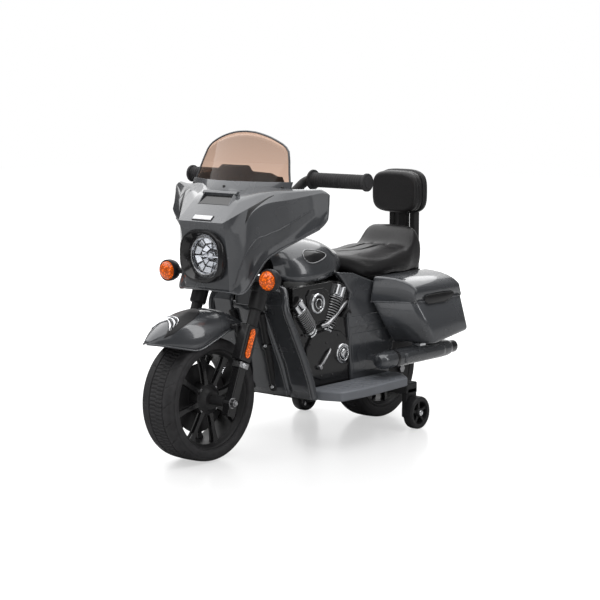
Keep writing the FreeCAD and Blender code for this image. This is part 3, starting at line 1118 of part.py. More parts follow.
# Rear fender around the rear wheel and a lamp on its tail
fender_inside = d.rear_wheel_radius + d.rear_fender_gap
fender_outside = fender_inside + d.rear_fender_wall
axle_y, axle_z = rear_axle_at[1:]
sweep_angle = d.rear_fender_front_angle - d.rear_fender_rear_angle
start_angle = math.radians(d.rear_fender_rear_angle)
ray = (0, math.cos(start_angle), math.sin(start_angle))
corners = []
for x, radius in ((-1, fender_inside), (-1, fender_outside), (1, fender_outside), (1, fender_inside)):
    corners.append((x * d.rear_fender_half_width, axle_y + radius * ray[1], axle_z + radius * ray[2]))
fender_band = Part.Face(polygon(corners)).revolve(V(0, axle_y, axle_z), V(*X_AXIS), sweep_angle)
fender_top_z = axle_z + fender_inside
fender_post = Part.makeBox(
    2 * d.fender_post_half_width, d.fender_post_length, rail_low - fender_top_z,
    V(-d.fender_post_half_width, axle_y - d.fender_post_length / 2, fender_top_z))
wheel_room = Part.makeCylinder(fender_inside, 2 * d.rear_fender_half_width,
                               V(-d.rear_fender_half_width, axle_y, axle_z), V(*X_AXIS))
node("rear_fender", feature("rear_fender", fender_band.fuse(fender_post.cut(wheel_room)).removeSplitter()))
lamp_reach = fender_outside + d.tail_lamp_reach
lamp_box = Part.makeBox(d.tail_lamp_width, lamp_reach, d.tail_lamp_height,
                        V(-d.tail_lamp_width / 2, axle_y, d.tail_lamp_z - d.tail_lamp_height / 2))
lamp_room = Part.makeCylinder(fender_outside + d.fit_gap, 2 * d.rear_fender_half_width,
                              V(-d.rear_fender_half_width, axle_y, axle_z), V(*X_AXIS))
node("tail_lamp", feature("tail_lamp", lamp_box.cut(lamp_room)))

# Saddlebags: open boxes whose front edge sweeps back towards the outside
bag_low_z = d.bag_seam_z - d.bag_depth
bag_front_back = rear_axle_back - d.bag_lead
bag_rear_back = bag_front_back + d.bag_length


def bag_wire(share, inset, rim):
    """The bag's side outline at a share of its width, drawn in by an inset and raised at the rim."""
    front = bag_front_back + share * d.bag_sweep
    x = d.bag_inner_x + inset + share * (d.bag_width - 2 * inset)
    return polygon([(x, back(along), z) for along, z in (
        (front + inset, d.bag_seam_z + rim), (bag_rear_back - inset, d.bag_seam_z + rim),
        (bag_rear_back + d.bag_tail_lean - inset, bag_low_z + d.bag_tail_rise + inset),
        (front + d.bag_lean + inset, bag_low_z + inset))])


hinge_y = back(bag_rear_back + d.hinge_setback)
hinge_z = d.bag_seam_z + d.lid_gap / 2
hinge_start = d.bag_inner_x + d.hinge_inset
hinge_span = d.bag_width - 2 * d.hinge_inset


def knuckle(start, length, leaf_low):
    """A hinge knuckle along X with a leaf towards the bag's rear wall."""
    barrel = Part.makeCylinder(d.hinge_radius, length, V(start, hinge_y, hinge_z), V(*X_AXIS))
    leaf = Part.makeBox(length, d.hinge_setback + d.hinge_bite, d.hinge_leaf,
                        V(start, hinge_y - d.hinge_setback - d.hinge_bite, leaf_low))
    bore = Part.makeCylinder(d.hinge_pin_radius + d.run_fit, length, V(start, hinge_y, hinge_z), V(*X_AXIS))
    return barrel.fuse(leaf).cut(bore)


bag = loft([bag_wire(0, 0, 0), bag_wire(1, 0, 0)], True)
bag_room = loft([bag_wire(0, d.bag_wall, d.bag_wall), bag_wire(1, d.bag_wall, d.bag_wall)], True)
bag_leaf_low = d.bag_seam_z - d.hinge_leaf
for start in (hinge_start, hinge_start + hinge_span - d.hinge_ear):
    bag = bag.fuse(knuckle(start, d.hinge_ear, bag_leaf_low))
bag = bag.cut(bag_room).removeSplitter()
node("saddlebags", pair("saddlebags", feature("saddlebag", bag)))

# Bag lids: hollow covers that fall away towards the outside, hinged along the rear edge
LID_SHARES = ((0.00, 1.00), (0.50, 0.93), (0.85, 0.72), (1.00, 0.48))
lid_low_z = d.bag_seam_z + d.lid_gap


def lid_wire(share, height_share, inset, drop):
    """The lid's side outline at a share of its width, drawn in by an inset."""
    front = bag_front_back + share * d.bag_sweep
    x = d.bag_inner_x + inset + share * (d.bag_width - 2 * inset)
    height = height_share * d.lid_height
    return polygon([(x, back(along), z) for along, z in (
        (front + inset, lid_low_z - drop), (bag_rear_back - inset, lid_low_z - drop),
        (bag_rear_back - d.lid_rear_lean * height_share - inset, lid_low_z + height - inset),
        (front + d.lid_front_lean * height_share + inset, lid_low_z + height - inset))])


lid = loft([lid_wire(share, height, 0, 0) for share, height in LID_SHARES], True)
lid_room = loft([lid_wire(share, height, d.bag_wall, d.bag_wall) for share, height in LID_SHARES], True)
ear_room = d.hinge_ear + d.hinge_side_gap
lid_knuckle = knuckle(hinge_start + ear_room, hinge_span - 2 * ear_room, lid_low_z + d.hinge_leaf_rise)
lid = lid.fuse(lid_knuckle).cut(lid_room).removeSplitter()
left_lid = node("left_bag_lid", feature("left_bag_lid", lid))
node("right_bag_lid", mirrored("right_bag_lid", left_lid))
hinge_pin = cylinder("hinge_pin", "hinge_pin_radius", "bag_width - 2 * hinge_inset",
                     (hinge_start, hinge_y, hinge_z), X_AXIS)
node("bag_hinge_pins", pair("bag_hinge_pins", hinge_pin))

# Exhausts: a long round muffler under each bag, with a narrower open mouth and a stay to the side panel
exhaust_y = back(d.exhaust_front_back)
exhaust_rear = exhaust_y + d.exhaust_length
barrel = cylinder("exhaust_barrel", "exhaust_radius", "exhaust_length - exhaust_mouth_length",
                  (d.exhaust_x, exhaust_y, d.exhaust_z), Y_AXIS)
mouth = cylinder("exhaust_mouth", "exhaust_mouth_radius", "exhaust_length",
                 (d.exhaust_x, exhaust_y, d.exhaust_z), Y_AXIS)
mouth_bore = cylinder("exhaust_mouth_bore", "exhaust_bore", "exhaust_bore_depth + overrun",
                      (d.exhaust_x, exhaust_rear - d.exhaust_bore_depth, d.exhaust_z), Y_AXIS)
stay = block("exhaust_stay", "exhaust_x - side_outer_x", "stay_length", "stay_height",
             (d.side_outer_x, back(d.stay_back), d.exhaust_z - d.stay_height / 2))
node("exhausts", pair("exhausts", cut("exhaust", fuse("exhaust_solid", barrel, mouth, stay), mouth_bore)))

# Footboards: flat steps beside the pan; the right one carries the drive pedal between two ears
BOARD_SHARES = (
    (0.000, 0.000), (0.449, 0.000), (0.939, 0.057), (1.000, 0.320), (0.898, 0.867), (0.429, 1.000),
    (0.000, 1.000))
board_width = d.board_outer_x - d.pan_half_width
board_low = d.board_top_z - d.board_thickness
board_points = [(d.pan_half_width + across * board_width, back(d.board_front_back + along * d.board_length))
                for across, along in BOARD_SHARES]
left_board = padded_body("left_board", "XY_Plane", board_points, "board_thickness")
left_board.Placement = FreeCAD.Placement(V(0, 0, board_low), FreeCAD.Rotation())
right_board = mirrored("right_board", left_board)
pedal_y = back(d.pedal_hinge_back)
pedal_z = d.board_top_z + d.pedal_hinge_rise
pin_half = d.pedal_width / 2 + d.pedal_side_gap + d.pedal_ear
pedal_ears = []
for side in (-1, 1):
    start = -d.pedal_x + side * (d.pedal_width / 2 + d.pedal_side_gap)
    low_x = min(start, start + side * d.pedal_ear)
    upright = Part.makeBox(d.pedal_ear, 2 * d.pedal_hinge_rise, pedal_z - d.board_top_z,
                           V(low_x, pedal_y - d.pedal_hinge_rise, d.board_top_z))
    crown = Part.makeCylinder(d.pedal_hinge_rise, d.pedal_ear, V(low_x, pedal_y, pedal_z), V(*X_AXIS))
    pedal_ears.append(feature(f"pedal_ear_{len(pedal_ears)}", upright.fuse(crown)))
pin_room = cylinder("pedal_pin_room", "pedal_pin_radius + run_fit",
                    "pedal_width + 2 * (pedal_side_gap + pedal_ear)",
                    (-d.pedal_x - pin_half, pedal_y, pedal_z), X_AXIS)
pedal_board = cut("pedal_board", fuse("pedal_board_solid", right_board, *pedal_ears), pin_room)
node("footboards", group("footboards", left_board, pedal_board))

# Drive pedal: a tilted plate on a pin, higher at the front
PEDAL = FreeCAD.Placement(V(-d.pedal_x, pedal_y, pedal_z), FreeCAD.Rotation(V(*X_AXIS), -d.pedal_tilt))
pedal_plate = block("pedal_plate", "pedal_width", "pedal_length", "pedal_thickness",
                    (-d.pedal_width / 2, d.pedal_thickness / 2 - d.pedal_length, -d.pedal_thickness / 2),
                    PEDAL)
pedal_pin = cylinder("pedal_pin", "pedal_pin_radius", "pedal_width + 2 * (pedal_side_gap + pedal_ear)",
                     (-pin_half, 0, 0), X_AXIS, PEDAL)
node("foot_pedal", fuse("foot_pedal", pedal_plate, pedal_pin))

# Stabilisers: an arm from the rear plate, a drop leg with a stub axle, and a small spoked wheel on each side
stabiliser_y = back(rear_axle_back - d.stabiliser_lead)
arm_y = stabiliser_y - d.arm_length / 2
arm = block("stabiliser_arm", "stabiliser_reach - plate_inner_x - plate_thickness", "arm_length",
            "arm_height", (plate_outer_x, arm_y, d.plate_low_z))
drop_leg = block("stabiliser_drop", "arm_drop_width", "arm_length", "plate_low_z - arm_foot_z",
                 (d.stabiliser_reach - d.arm_drop_width, arm_y, d.arm_foot_z))
stub_at = (d.stabiliser_reach, stabiliser_y, d.stabiliser_radius)
stub = cylinder("stabiliser_stub", "stabiliser_axle_radius", "stabiliser_width + 2 * hub_play", stub_at,
                X_AXIS)
stub_head = cylinder("stabiliser_head", "stabiliser_head_radius", "stabiliser_head_length",
                     (stub_at[0] + d.stabiliser_width + 2 * d.hub_play, *stub_at[1:]), X_AXIS)
stabiliser_bracket = fuse("stabiliser_bracket", arm, drop_leg, stub, stub_head)
node("stabiliser_brackets", pair("stabiliser_brackets", stabiliser_bracket))
stabiliser_x = d.stabiliser_reach + d.hub_play + d.stabiliser_width / 2
for label, x in (("left_stabiliser_wheel", stabiliser_x), ("right_stabiliser_wheel", -stabiliser_x)):
    node(label, spoked_wheel(
        label, (x, *stub_at[1:]), d.stabiliser_radius, d.stabiliser_radius - d.stabiliser_rim_radius,
        d.stabiliser_hub_radius, d.stabiliser_axle_radius + d.run_fit, d.stabiliser_width, d.stabiliser_width,
        d.stabiliser_spoke_depth, d.stabiliser_spoke_width, d.stabiliser_window_margin, STABILISER_SPOKES))

# Battery on the pan, gearbox and motor beside the rear wheel
half_battery = d.battery_width / 2
battery = padded_body("battery", "XY_Plane", [
    (-half_battery, 0), (half_battery, 0), (half_battery, d.battery_length),
    (-half_battery, d.battery_length)],
    "battery_height", "battery_fillet")
battery_back = well_front_back + d.well_gap - d.battery_gap - d.battery_length
battery.Placement = FreeCAD.Placement(V(0, back(battery_back), pan_top), FreeCAD.Rotation())
node("battery", battery)
half_box = d.gearbox_length / 2
gearbox_case = padded_body("gearbox_case", "XY_Plane", [
    (0, -half_box), (d.gearbox_width, -half_box), (d.gearbox_width, half_box), (0, half_box)],
    "gearbox_height", "gearbox_fillet")
gearbox_low = axle_z - d.gearbox_height / 2
gearbox_case.Placement = FreeCAD.Placement(V(-d.plate_inner_x, axle_y, gearbox_low), FreeCAD.Rotation())
gear_bore = cylinder("gear_bore", "axle_radius + run_fit", "2 * plate_inner_x",
                     (-2 * d.plate_inner_x, axle_y, axle_z), X_AXIS)
node("gearbox", cut("gearbox", gearbox_case, gear_bore))
motor_x = d.gearbox_width / 2 - d.plate_inner_x
node("drive_motor", cylinder("drive_motor", "motor_radius", "motor_length",
                             (motor_x, axle_y - half_box - d.motor_length, d.motor_z), Y_AXIS))

# Rear axle with its spacers and nuts
rear_hub_end = d.rear_hub_width / 2 + d.hub_play
node("rear_axle", axle_set("rear_axle", rear_axle_at, plate_outer_x + d.axle_nut_length, [
    (rear_hub_end, d.plate_inner_x), (d.gearbox_width - d.plate_inner_x, -rear_hub_end)], plate_outer_x))

# Charging socket: a flange on the right side panel, a barrel through it and a blind bore for the plug
socket_face = (-d.side_outer_x - d.socket_flange, *socket_at[1:])
socket_flange = cylinder("socket_flange", "socket_radius", "socket_flange", socket_face, X_AXIS)
socket_barrel = cylinder("socket_barrel", "socket_barrel_radius", "socket_barrel_length", socket_at, X_AXIS)
socket_hole = cylinder("socket_hole", "socket_bore", "socket_bore_depth", socket_face, X_AXIS)
node("charge_socket", cut("charge_socket", fuse("socket_body", socket_flange, socket_barrel), socket_hole))

# Every object must have recomputed cleanly and every piece must be a valid solid
doc.recompute()
for item in doc.Objects:
    if "Invalid" in item.State or "Error" in item.State:
        raise RuntimeError(item.Name + " did not recompute")
for item in NODES:
    shape = item.Shape
    if shape.isNull() or not shape.isValid() or not shape.Solids:
        raise RuntimeError(item.Label + " is not a valid solid")

os.makedirs("parts", exist_ok=True)
for item in NODES:
    item.Shape.exportStep(f"parts/{item.Label}.step")
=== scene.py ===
import json
import math

import bmesh
import bpy
from bpy.props import FloatProperty, FloatVectorProperty, IntProperty, PointerProperty
from mathutils import Matrix, Vector


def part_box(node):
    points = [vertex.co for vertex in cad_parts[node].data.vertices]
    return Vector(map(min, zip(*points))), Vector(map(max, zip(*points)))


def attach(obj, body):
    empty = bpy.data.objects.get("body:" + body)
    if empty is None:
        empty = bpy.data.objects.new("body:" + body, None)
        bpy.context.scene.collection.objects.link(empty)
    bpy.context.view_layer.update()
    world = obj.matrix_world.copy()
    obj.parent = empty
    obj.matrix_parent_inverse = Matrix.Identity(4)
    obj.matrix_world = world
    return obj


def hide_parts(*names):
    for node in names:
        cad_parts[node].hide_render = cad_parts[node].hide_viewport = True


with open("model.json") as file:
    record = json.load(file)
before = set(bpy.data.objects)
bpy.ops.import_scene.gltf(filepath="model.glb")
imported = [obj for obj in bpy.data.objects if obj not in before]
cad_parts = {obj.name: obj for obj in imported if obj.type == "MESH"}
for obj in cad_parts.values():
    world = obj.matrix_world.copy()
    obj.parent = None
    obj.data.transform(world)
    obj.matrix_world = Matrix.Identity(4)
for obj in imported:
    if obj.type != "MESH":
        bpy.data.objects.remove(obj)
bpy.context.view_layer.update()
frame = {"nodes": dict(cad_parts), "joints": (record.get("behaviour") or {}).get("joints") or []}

bl_info = {
    "name": "Kids motorbike",
    "version": (1, 0, 0),
    "blender": (4, 5, 0),
    "location": "View3D > Sidebar > Motorbike",
    "description": "Modelled pieces, finishes and studio for a children's battery motorbike",
    "category": "Object",
}

# Places are in millimetres: across from the middle, back from the front axle, up from the floor
MM = 0.001


def middle(node):
    """The middle of a CAD node's box."""
    low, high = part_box(node)
    return (low + high) / 2


FRONT_HUB = middle("front_tyre")
REAR_HUB = middle("rear_tyre")
STEERING = next(joint for joint in frame["joints"] if joint["name"] == "steering_turn")
RAKE = math.atan2(STEERING["axis"][1], STEERING["axis"][2])
SIDES = (1, -1)
SIDE_WORDS = ((1, "left"), (-1, "right"))
ACROSS, BACK, UP = Vector((1, 0, 0)), Vector((0, 1, 0)), Vector((0, 0, 1))


def at(across, back, up):
    """A point from millimetres across, back and up."""
    return Vector((across * MM, FRONT_HUB.y + back * MM, up * MM))


def span(across=0, back=0, up=0):
    """A step of millimetres across, back and up."""
    return Vector((across * MM, back * MM, up * MM))


def round_axle(across, reach, turn):
    """A step in metres from a hub: across, and out from the axle at a turn."""
    return Vector((across, reach * math.cos(turn), reach * math.sin(turn)))


FORK = Matrix.Translation(at(0, 12, 140)) @ Matrix.Rotation(-RAKE, 4, "X")


def fork_at(across, back, up):
    """A point beside the fork, whose height runs along the steering line."""
    return FORK @ (Vector((across, back, up)) * MM)


def gap_at(rows, share):
    """Number of the row before a share."""
    last = len(rows) - 1
    return next((i for i in range(last) if share <= rows[i + 1][0]), last - 1)


def row_at(rows, share):
    """A row of a table at a share of its length, on a smooth curve through the rows."""
    k = gap_at(rows, share)
    a, b = rows[k], rows[k + 1]
    before, after = rows[max(k - 1, 0)], rows[min(k + 2, len(rows) - 1)]
    gap = b[0] - a[0]
    t = (share - a[0]) / gap
    found = []
    for n in range(1, len(a)):
        leave = (b[n] - before[n]) / (b[0] - before[0]) * gap
        arrive = (after[n] - a[n]) / (after[0] - a[0]) * gap
        rise = b[n] - a[n]
        square, cube = 3 * rise - 2 * leave - arrive, leave + arrive - 2 * rise
        bow = leave * t + square * t ** 2 + cube * t ** 3
        found.append(a[n] + bow)
    return found


def line_at(rows, share):
    """A value of a two-column table at a share, on straight lines between the rows."""
    k = gap_at(rows, share)
    a, b = rows[k], rows[k + 1]
    return a[1] + (b[1] - a[1]) * (share - a[0]) / (b[0] - a[0])


def steps(count, low=0.0, high=1.0):
    """Evenly spaced numbers from low to high."""
    return [low + (high - low) * i / count for i in range(count + 1)]


# Roundness of the arches: 2 is an ellipse, and more is squarer
ARCH_POWER = 2.4


def arch(share, low, high):
    """Height of a rounded arch at a share of its half width."""
    return low + (1 - abs(share) ** ARCH_POWER) ** (1 / ARCH_POWER) * (high - low)


def bent(points, count=8):
    """A smooth line through points."""
    rows = [(i, *p) for i, p in enumerate(points)]
    return [Vector(row_at(rows, s)) for s in steps(count * (len(points) - 1), 0, len(points) - 1)]


def frame_of(direction):
    """Two directions square to a direction."""
    direction = direction.normalized()
    side = direction.cross(ACROSS)
    if side.length < 0.1:
        side = direction.cross(BACK)
    side.normalize()
    return side, direction.cross(side)


def placed(name, data):
    """A new object in the scene."""
    item = bpy.data.objects.new(name, data)
    bpy.context.scene.collection.objects.link(item)
    return item


# Least radius of a turned ring in millimetres
NEEDLE = 0.02
# Reach of the welding in metres, and least angle of a bevelled edge
WELD, BEVEL_ANGLE = 1e-6, math.radians(28)


class Form:
    """The mesh of one piece, added shape by shape."""

    def __init__(self):
        self.mesh = bmesh.new()

    def skin(self, rings, closed=True, capped=True, joined=False):
        """Faces between rings of points; closed rings and joined ends meet."""
        rows = [[self.mesh.verts.new(p) for p in ring] for ring in rings]
        count = len(rows[0])
        pairs = list(zip(rows, rows[1:])) + ([(rows[-1], rows[0])] if joined else [])
        for a, b in pairs:
            for i in range(count if closed else count - 1):
                j = (i + 1) % count
                self.mesh.faces.new((a[i], a[j], b[j], b[i]))
        if capped and not joined:
            self.mesh.faces.new(rows[0][::-1])
            self.mesh.faces.new(rows[-1])
        return self

    def sheet(self, rows):
        """An open sheet of faces through rows of points."""
        return self.skin(rows, closed=False, capped=False)

    def lathe(self, profile, centre, axis, sides, joined=False, capped=True):
        """Turns (along, radius) pairs in millimetres round an axis through a centre."""
        axis = Vector(axis).normalized()
        u, v = frame_of(axis)
        turns = [2 * math.pi * i / sides for i in range(sides)]
        rings = []
        for along, radius in profile:
            foot = centre + axis * along * MM
            reach = max(radius, NEEDLE) * MM
            rings.append([foot + (u * math.cos(t) + v * math.sin(t)) * reach for t in turns])
        return self.skin(rings, capped=capped, joined=joined)

    def prism(self, outline, depth):
        """An outline of points carried along a depth vector."""
        return self.skin([outline, [p + depth for p in outline]])

    def box(self, low, high, place=at):
        """A block between two corners in millimetres."""
        (a, b, c), (d, e, f) = low, high
        lower = [place(x, y, c) for x, y in ((a, b), (d, b), (d, e), (a, e))]
        upper = [place(x, y, f) for x, y in ((a, b), (d, b), (d, e), (a, e))]
        return self.skin([lower, upper])

    def tube(self, path, radius, sides=12, looped=False):
        """A round bar along a path of points; radius in millimetres, one or one for each point."""
        radii = radius if isinstance(radius, (list, tuple)) else [radius] * len(path)
        rings = []
        up = None
        for i, point in enumerate(path):
            ahead = path[(i + 1) % len(path)] if looped or i + 1 < len(path) else point
            behind = path[i - 1] if looped or i else point
            direction = (ahead - behind).normalized()
            if up is None:
                up, _ = frame_of(direction)
            up = (up - direction * up.dot(direction)).normalized()
            other = direction.cross(up)
            turns = [2 * math.pi * k / sides for k in range(sides)]
            rings.append([point + (up * math.cos(t) + other * math.sin(t)) * radii[i] * MM
                          for t in turns])
        return self.skin(rings, joined=looped)

    def both(self):
        """Adds the mirror image on the other side."""
        twins = {v: self.mesh.verts.new((-v.co.x, v.co.y, v.co.z)) for v in list(self.mesh.verts)}
        for face in list(self.mesh.faces):
            self.mesh.faces.new([twins[v] for v in reversed(face.verts)])
        return self

    def soften(self, radius, rounds, limit, keep):
        """Rounds edges sharper than a limit, but for those that keep is true for."""
        self.mesh.normal_update()
        edges = [e for e in self.mesh.edges if len(e.link_faces) == 2
                 and math.degrees(e.calc_face_angle(0)) > limit and not keep(e)]
        bmesh.ops.bevel(self.mesh, geom=edges, offset=radius * MM, segments=rounds, profile=0.5,
                        affect="EDGES", clamp_overlap=True)

    def data(self, name):
        """The finished mesh, with its faces turned outwards."""
        bmesh.ops.recalc_face_normals(self.mesh, faces=self.mesh.faces)
        data = bpy.data.meshes.new(name)
        self.mesh.to_mesh(data)
        self.mesh.free()
        return data

    def piece(self, name, slot, body, hides=(), wall=0.0, round_off=0.0, rounds=2, sharp=40):
        """Makes the object, finishes it and lets it ride on its body; lengths in millimetres."""
        bmesh.ops.remove_doubles(self.mesh, verts=self.mesh.verts, dist=WELD)
        data = self.data(name)
        item = placed(name, data)
        data.polygons.foreach_set("use_smooth", [True] * len(data.polygons))
        if not round_off:
            data.set_sharp_from_angle(angle=math.radians(sharp))
        if wall:
            thicken(item, wall)
        if round_off:
            edge = item.modifiers.new("Edges", "BEVEL")
            edge.width = round_off * MM
            edge.segments = rounds
            edge.limit_method = "ANGLE"
            edge.angle_limit = BEVEL_ANGLE
            edge.harden_normals = True
        return dress(item, slot, body, hides)


def thicken(item, wall):
    """Gives a sheet a wall of millimetres behind its outer face."""
    shell = item.modifiers.new("Wall", "SOLIDIFY")
    shell.thickness = wall * MM
    shell.offset = -1


def dress(item, slot, body, hides):
    """Gives an object the finish of its slot, and its body, and hides the CAD nodes it stands for.
    """
    item.data.materials.clear()
    item.data.materials.append(finish(slot).material)
    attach(item, body)
    if hides:
        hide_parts(*hides)
    return item


class Value:
    """A shader socket that stands in a Python expression; each operation adds a Math node."""

    def __init__(self, owner, socket):
        self.owner = owner
        self.socket = socket

    def __add__(self, other):
        return self.owner.maths("ADD", self, other)

    def __radd__(self, other):
        return self.owner.maths("ADD", other, self)

    def __sub__(self, other):
        return self.owner.maths("SUBTRACT", self, other)

    def __rsub__(self, other):
        return self.owner.maths("SUBTRACT", other, self)

    def __mul__(self, other):
        return self.owner.maths("MULTIPLY", self, other)

    def __rmul__(self, other):
        return self.owner.maths("MULTIPLY", other, self)


# Radius in millimetres of the rounding that the shaders give to edges
EDGE_ROUND = 1.2
# Numbers of a Mix node's sockets for colours, whose names it has more than once
MIX_FACTOR, MIX_FIRST, MIX_SECOND, MIX_COLOUR = 0, 6, 7, 2


class Finish:
    """One material: its nodes, its shader and its place on the surface."""

    def __init__(self, name):
        self.material = bpy.data.materials.new(name)
        self.material.use_nodes = True
        self.tree = self.material.node_tree
        self.shader = self.tree.nodes["Principled BSDF"]
        self.place = self.node("ShaderNodeTexCoord", {}, {}, "Object")

    def node(self, kind, settings, sockets, output=0):
        """Adds a node: its settings first, then the values or links of its sockets."""
        item = self.tree.nodes.new(kind)
        for key, value in settings.items():
            setattr(item, key, value)
        self.plug(item, sockets)
        return Value(self, item.outputs[output])

    def plug(self, item, sockets):
        """Sets or links sockets of a node."""
        for key, value in sockets.items():
            if isinstance(value, Value):
                self.tree.links.new(value.socket, item.inputs[key])
            else:
                item.inputs[key].default_value = value

    def maths(self, operation, first, second):
        """A Math node."""
        return self.node("ShaderNodeMath", {"operation": operation}, {0: first, 1: second})

    def noise(self, scale, detail, stretch=None):
        """Cloudy noise; scale is per metre, and stretch squeezes the place along each axis."""
        place = self.place
        if stretch:
            sockets = {0: place, 1: stretch}
            place = self.node("ShaderNodeVectorMath", {"operation": "MULTIPLY"}, sockets)
        sockets = {"Vector": place, "Scale": scale, "Detail": detail}
        return self.node("ShaderNodeTexNoise", {}, sockets)

    def cells(self, scale, feature="F1"):
        """Distance in a pattern of cells."""
        sockets = {"Vector": self.place, "Scale": scale}
        return self.node("ShaderNodeTexVoronoi", {"feature": feature}, sockets)

    def band(self, value, low, high, first=0.0, last=1.0):
        """A value's range carried to another range, held at its ends."""
        limits = {"From Min": low, "From Max": high, "To Min": first, "To Max": last}
        return self.node("ShaderNodeMapRange", {"clamp": True}, {"Value": value, **limits})

    def mix(self, factor, first, second):
        """A colour between two colours."""
        sockets = {MIX_FACTOR: factor, MIX_FIRST: first, MIX_SECOND: second}
        return self.node("ShaderNodeMix", {"data_type": "RGBA"}, sockets, MIX_COLOUR)

    def relief(self, height, strength, depth):
        """A normal from a height, on edges that look rounded; depth in millimetres."""
        rounded = self.node("ShaderNodeBevel", {"samples": 4}, {"Radius": EDGE_ROUND * MM})
        sockets = {"Height": height, "Strength": strength, "Distance": depth * MM}
        return self.node("ShaderNodeBump", {}, {**sockets, "Normal": rounded})

    def edges(self):
        """How far a point stands out as an edge, from 0 to 1."""
        point = self.node("ShaderNodeNewGeometry", {}, {}, "Pointiness")
        return self.band(point, 0.51, 0.60)

    def shade(self, **sockets):
        """Sets the shader's sockets, with underscores for spaces."""
        self.plug(self.shader, {key.replace("_", " "): value for key, value in sockets.items()})


def tone(colour, gain):
    """A colour for a socket, lighter or darker by a gain."""
    return (*(min(channel * gain, 1.0) for channel in colour), 1.0)


def moulded(name, colour, rough, grain, depth, coat, spread=0.06):
    """Moulded or painted plastic: clouded colour, fine grain, rubbed edges and a coat."""
    made = Finish(name)
    cloud = made.noise(26, 3)
    fine = made.noise(grain, 2)
    base = made.mix(cloud, tone(colour, 0.85), tone(colour, 1.15))
    base = made.mix(made.edges() * 0.3, base, tone(colour, 2.2))
    ripple = made.noise(90, 1) * 0.5 + fine * 0.5
    wear = cloud * 0.7 + fine * 0.3
    made.shade(Base_Color=base, Roughness=made.band(wear, 0.3, 0.7, rough - spread, rough + spread),
               Coat_Weight=coat, Coat_Roughness=0.07, Specular_IOR_Level=0.3,
               Normal=made.relief(ripple, 0.3, depth))
    return made


def body_grey(colours):
    """Gunmetal plastic with a faint metal flake under a clear coat."""
    made = Finish("gunmetal_bodywork")
    flake = made.cells(1500)
    cloud = made.noise(18, 3)
    grey = colours.bodywork
    base = made.mix(made.band(flake, 0.1, 0.6), tone(grey, 1.06), tone(grey, 0.95))
    base = made.mix(made.edges() * 0.35, base, tone(grey, 2.0))
    peel = made.noise(420, 2)
    made.shade(Base_Color=base, Metallic=0.25, Roughness=made.band(cloud, 0.3, 0.7, 0.20, 0.30),
               Coat_Weight=0.8, Coat_Roughness=0.05, Normal=made.relief(peel, 0.10, 0.03))
    return made


def lit_tread_grey(colours):
    """Grained grey plastic of the footboards: the bodywork grey painted 2.6 times lighter, painted
    light on the boards' tops.
    """
    return moulded("lit_grained_tread", tone(colours.bodywork, 2.6)[:3], rough=0.5, grain=1200,
                   depth=0.12, coat=0.0)


def black_plastic(colours):
    """Satin black plastic with a fine spark grain."""
    return moulded("satin_black_plastic", colours.black, rough=0.42, grain=1500, depth=0.06,
                   coat=0.0)


def gloss_black(colours):
    """Polished black plastic."""
    return moulded("gloss_black_plastic", colours.gloss, rough=0.22, grain=700, depth=0.02,
                   coat=0.4, spread=0.04)


def frame_paint(colours):
    """Powder paint over steel."""
    return moulded("powder_paint", colours.black, rough=0.5, grain=900, depth=0.18, coat=0.0)


def battery_case(colours):
    """Matt battery plastic."""
    return moulded("battery_plastic", colours.battery, rough=0.55, grain=1100, depth=0.1, coat=0.0)


def bush_nylon(colours):
    """Pale nylon."""
    return moulded("bush_nylon", colours.nylon, rough=0.45, grain=800, depth=0.06, coat=0.0)


def metal(name, colour, rough, streak):
    """Bright metal with drawn streaks and handling marks."""
    made = Finish(name)
    drawn = made.noise(300, 3, (1.0, 0.15, 1.0))
    mark = made.noise(40, 4)
    made.shade(Base_Color=made.mix(mark, tone(colour, 0.9), tone(colour, 1.06)), Metallic=1.0,
               Roughness=made.band(drawn * 0.6 + mark * 0.4, 0.3, 0.7, rough * 0.7, rough * 1.5),
               Normal=made.relief(drawn, streak, 0.03))
    return made


def steel(colours):
    """Zinc-plated steel."""
    return metal("plated_steel", colours.steel, rough=0.3, streak=0.3)


def chrome_trim(colours):
    """Vacuum-plated plastic trim."""
    return metal("bright_plating", colours.chrome, rough=0.09, streak=0.1)


def rubbery(name, colour, rough, grain, depth):
    """Rubber with dust in its grain and paler worn edges."""
    made = Finish(name)
    dust = made.noise(60, 5)
    fine = made.noise(grain, 3)
    base = made.mix(made.band(dust, 0.35, 0.75), tone(colour, 0.8), tone(colour, 1.5))
    base = made.mix(made.edges() * 0.5, base, tone(colour, 2.6))
    made.shade(Base_Color=base, Roughness=made.band(dust, 0.3, 0.7, rough - 0.1, rough + 0.1),
               Specular_IOR_Level=0.25, Normal=made.relief(fine, 0.4, depth))
    return made


def tyre_rubber(colours):
    """Foam rubber of the tyres."""
    return rubbery("tyre_rubber", colours.rubber, rough=0.62, grain=900, depth=0.2)


def grip_rubber(colours):
    """Soft rubber of the grips."""
    return rubbery("grip_rubber", colours.rubber, rough=0.7, grain=1400, depth=0.15)


def seat_vinyl(colours):
    """Vinyl with a pebbled leather grain, glossier on its crowns, its colour painted lighter on the
    crowns as a painted sheen and darker between the pebbles as painted shade.
    """
    made = Finish("pebbled_vinyl")
    pebble = made.cells(520, "SMOOTH_F1")
    crease = made.noise(90, 4)
    # Painted sheen and shade: the colour is lighter on each pebble's crown and darker in the gaps
    # between pebbles
    base = made.mix(made.band(pebble, 0.1, 0.7), tone(colours.vinyl, 1.2), tone(colours.vinyl, 0.6))
    grain = pebble * -0.7 + crease * 0.5
    made.shade(Base_Color=base, Roughness=made.band(pebble + crease * 0.4, 0.3, 1.0, 0.28, 0.44),
               Normal=made.relief(grain, 0.5, 0.3), Specular_IOR_Level=0.35)
    return made


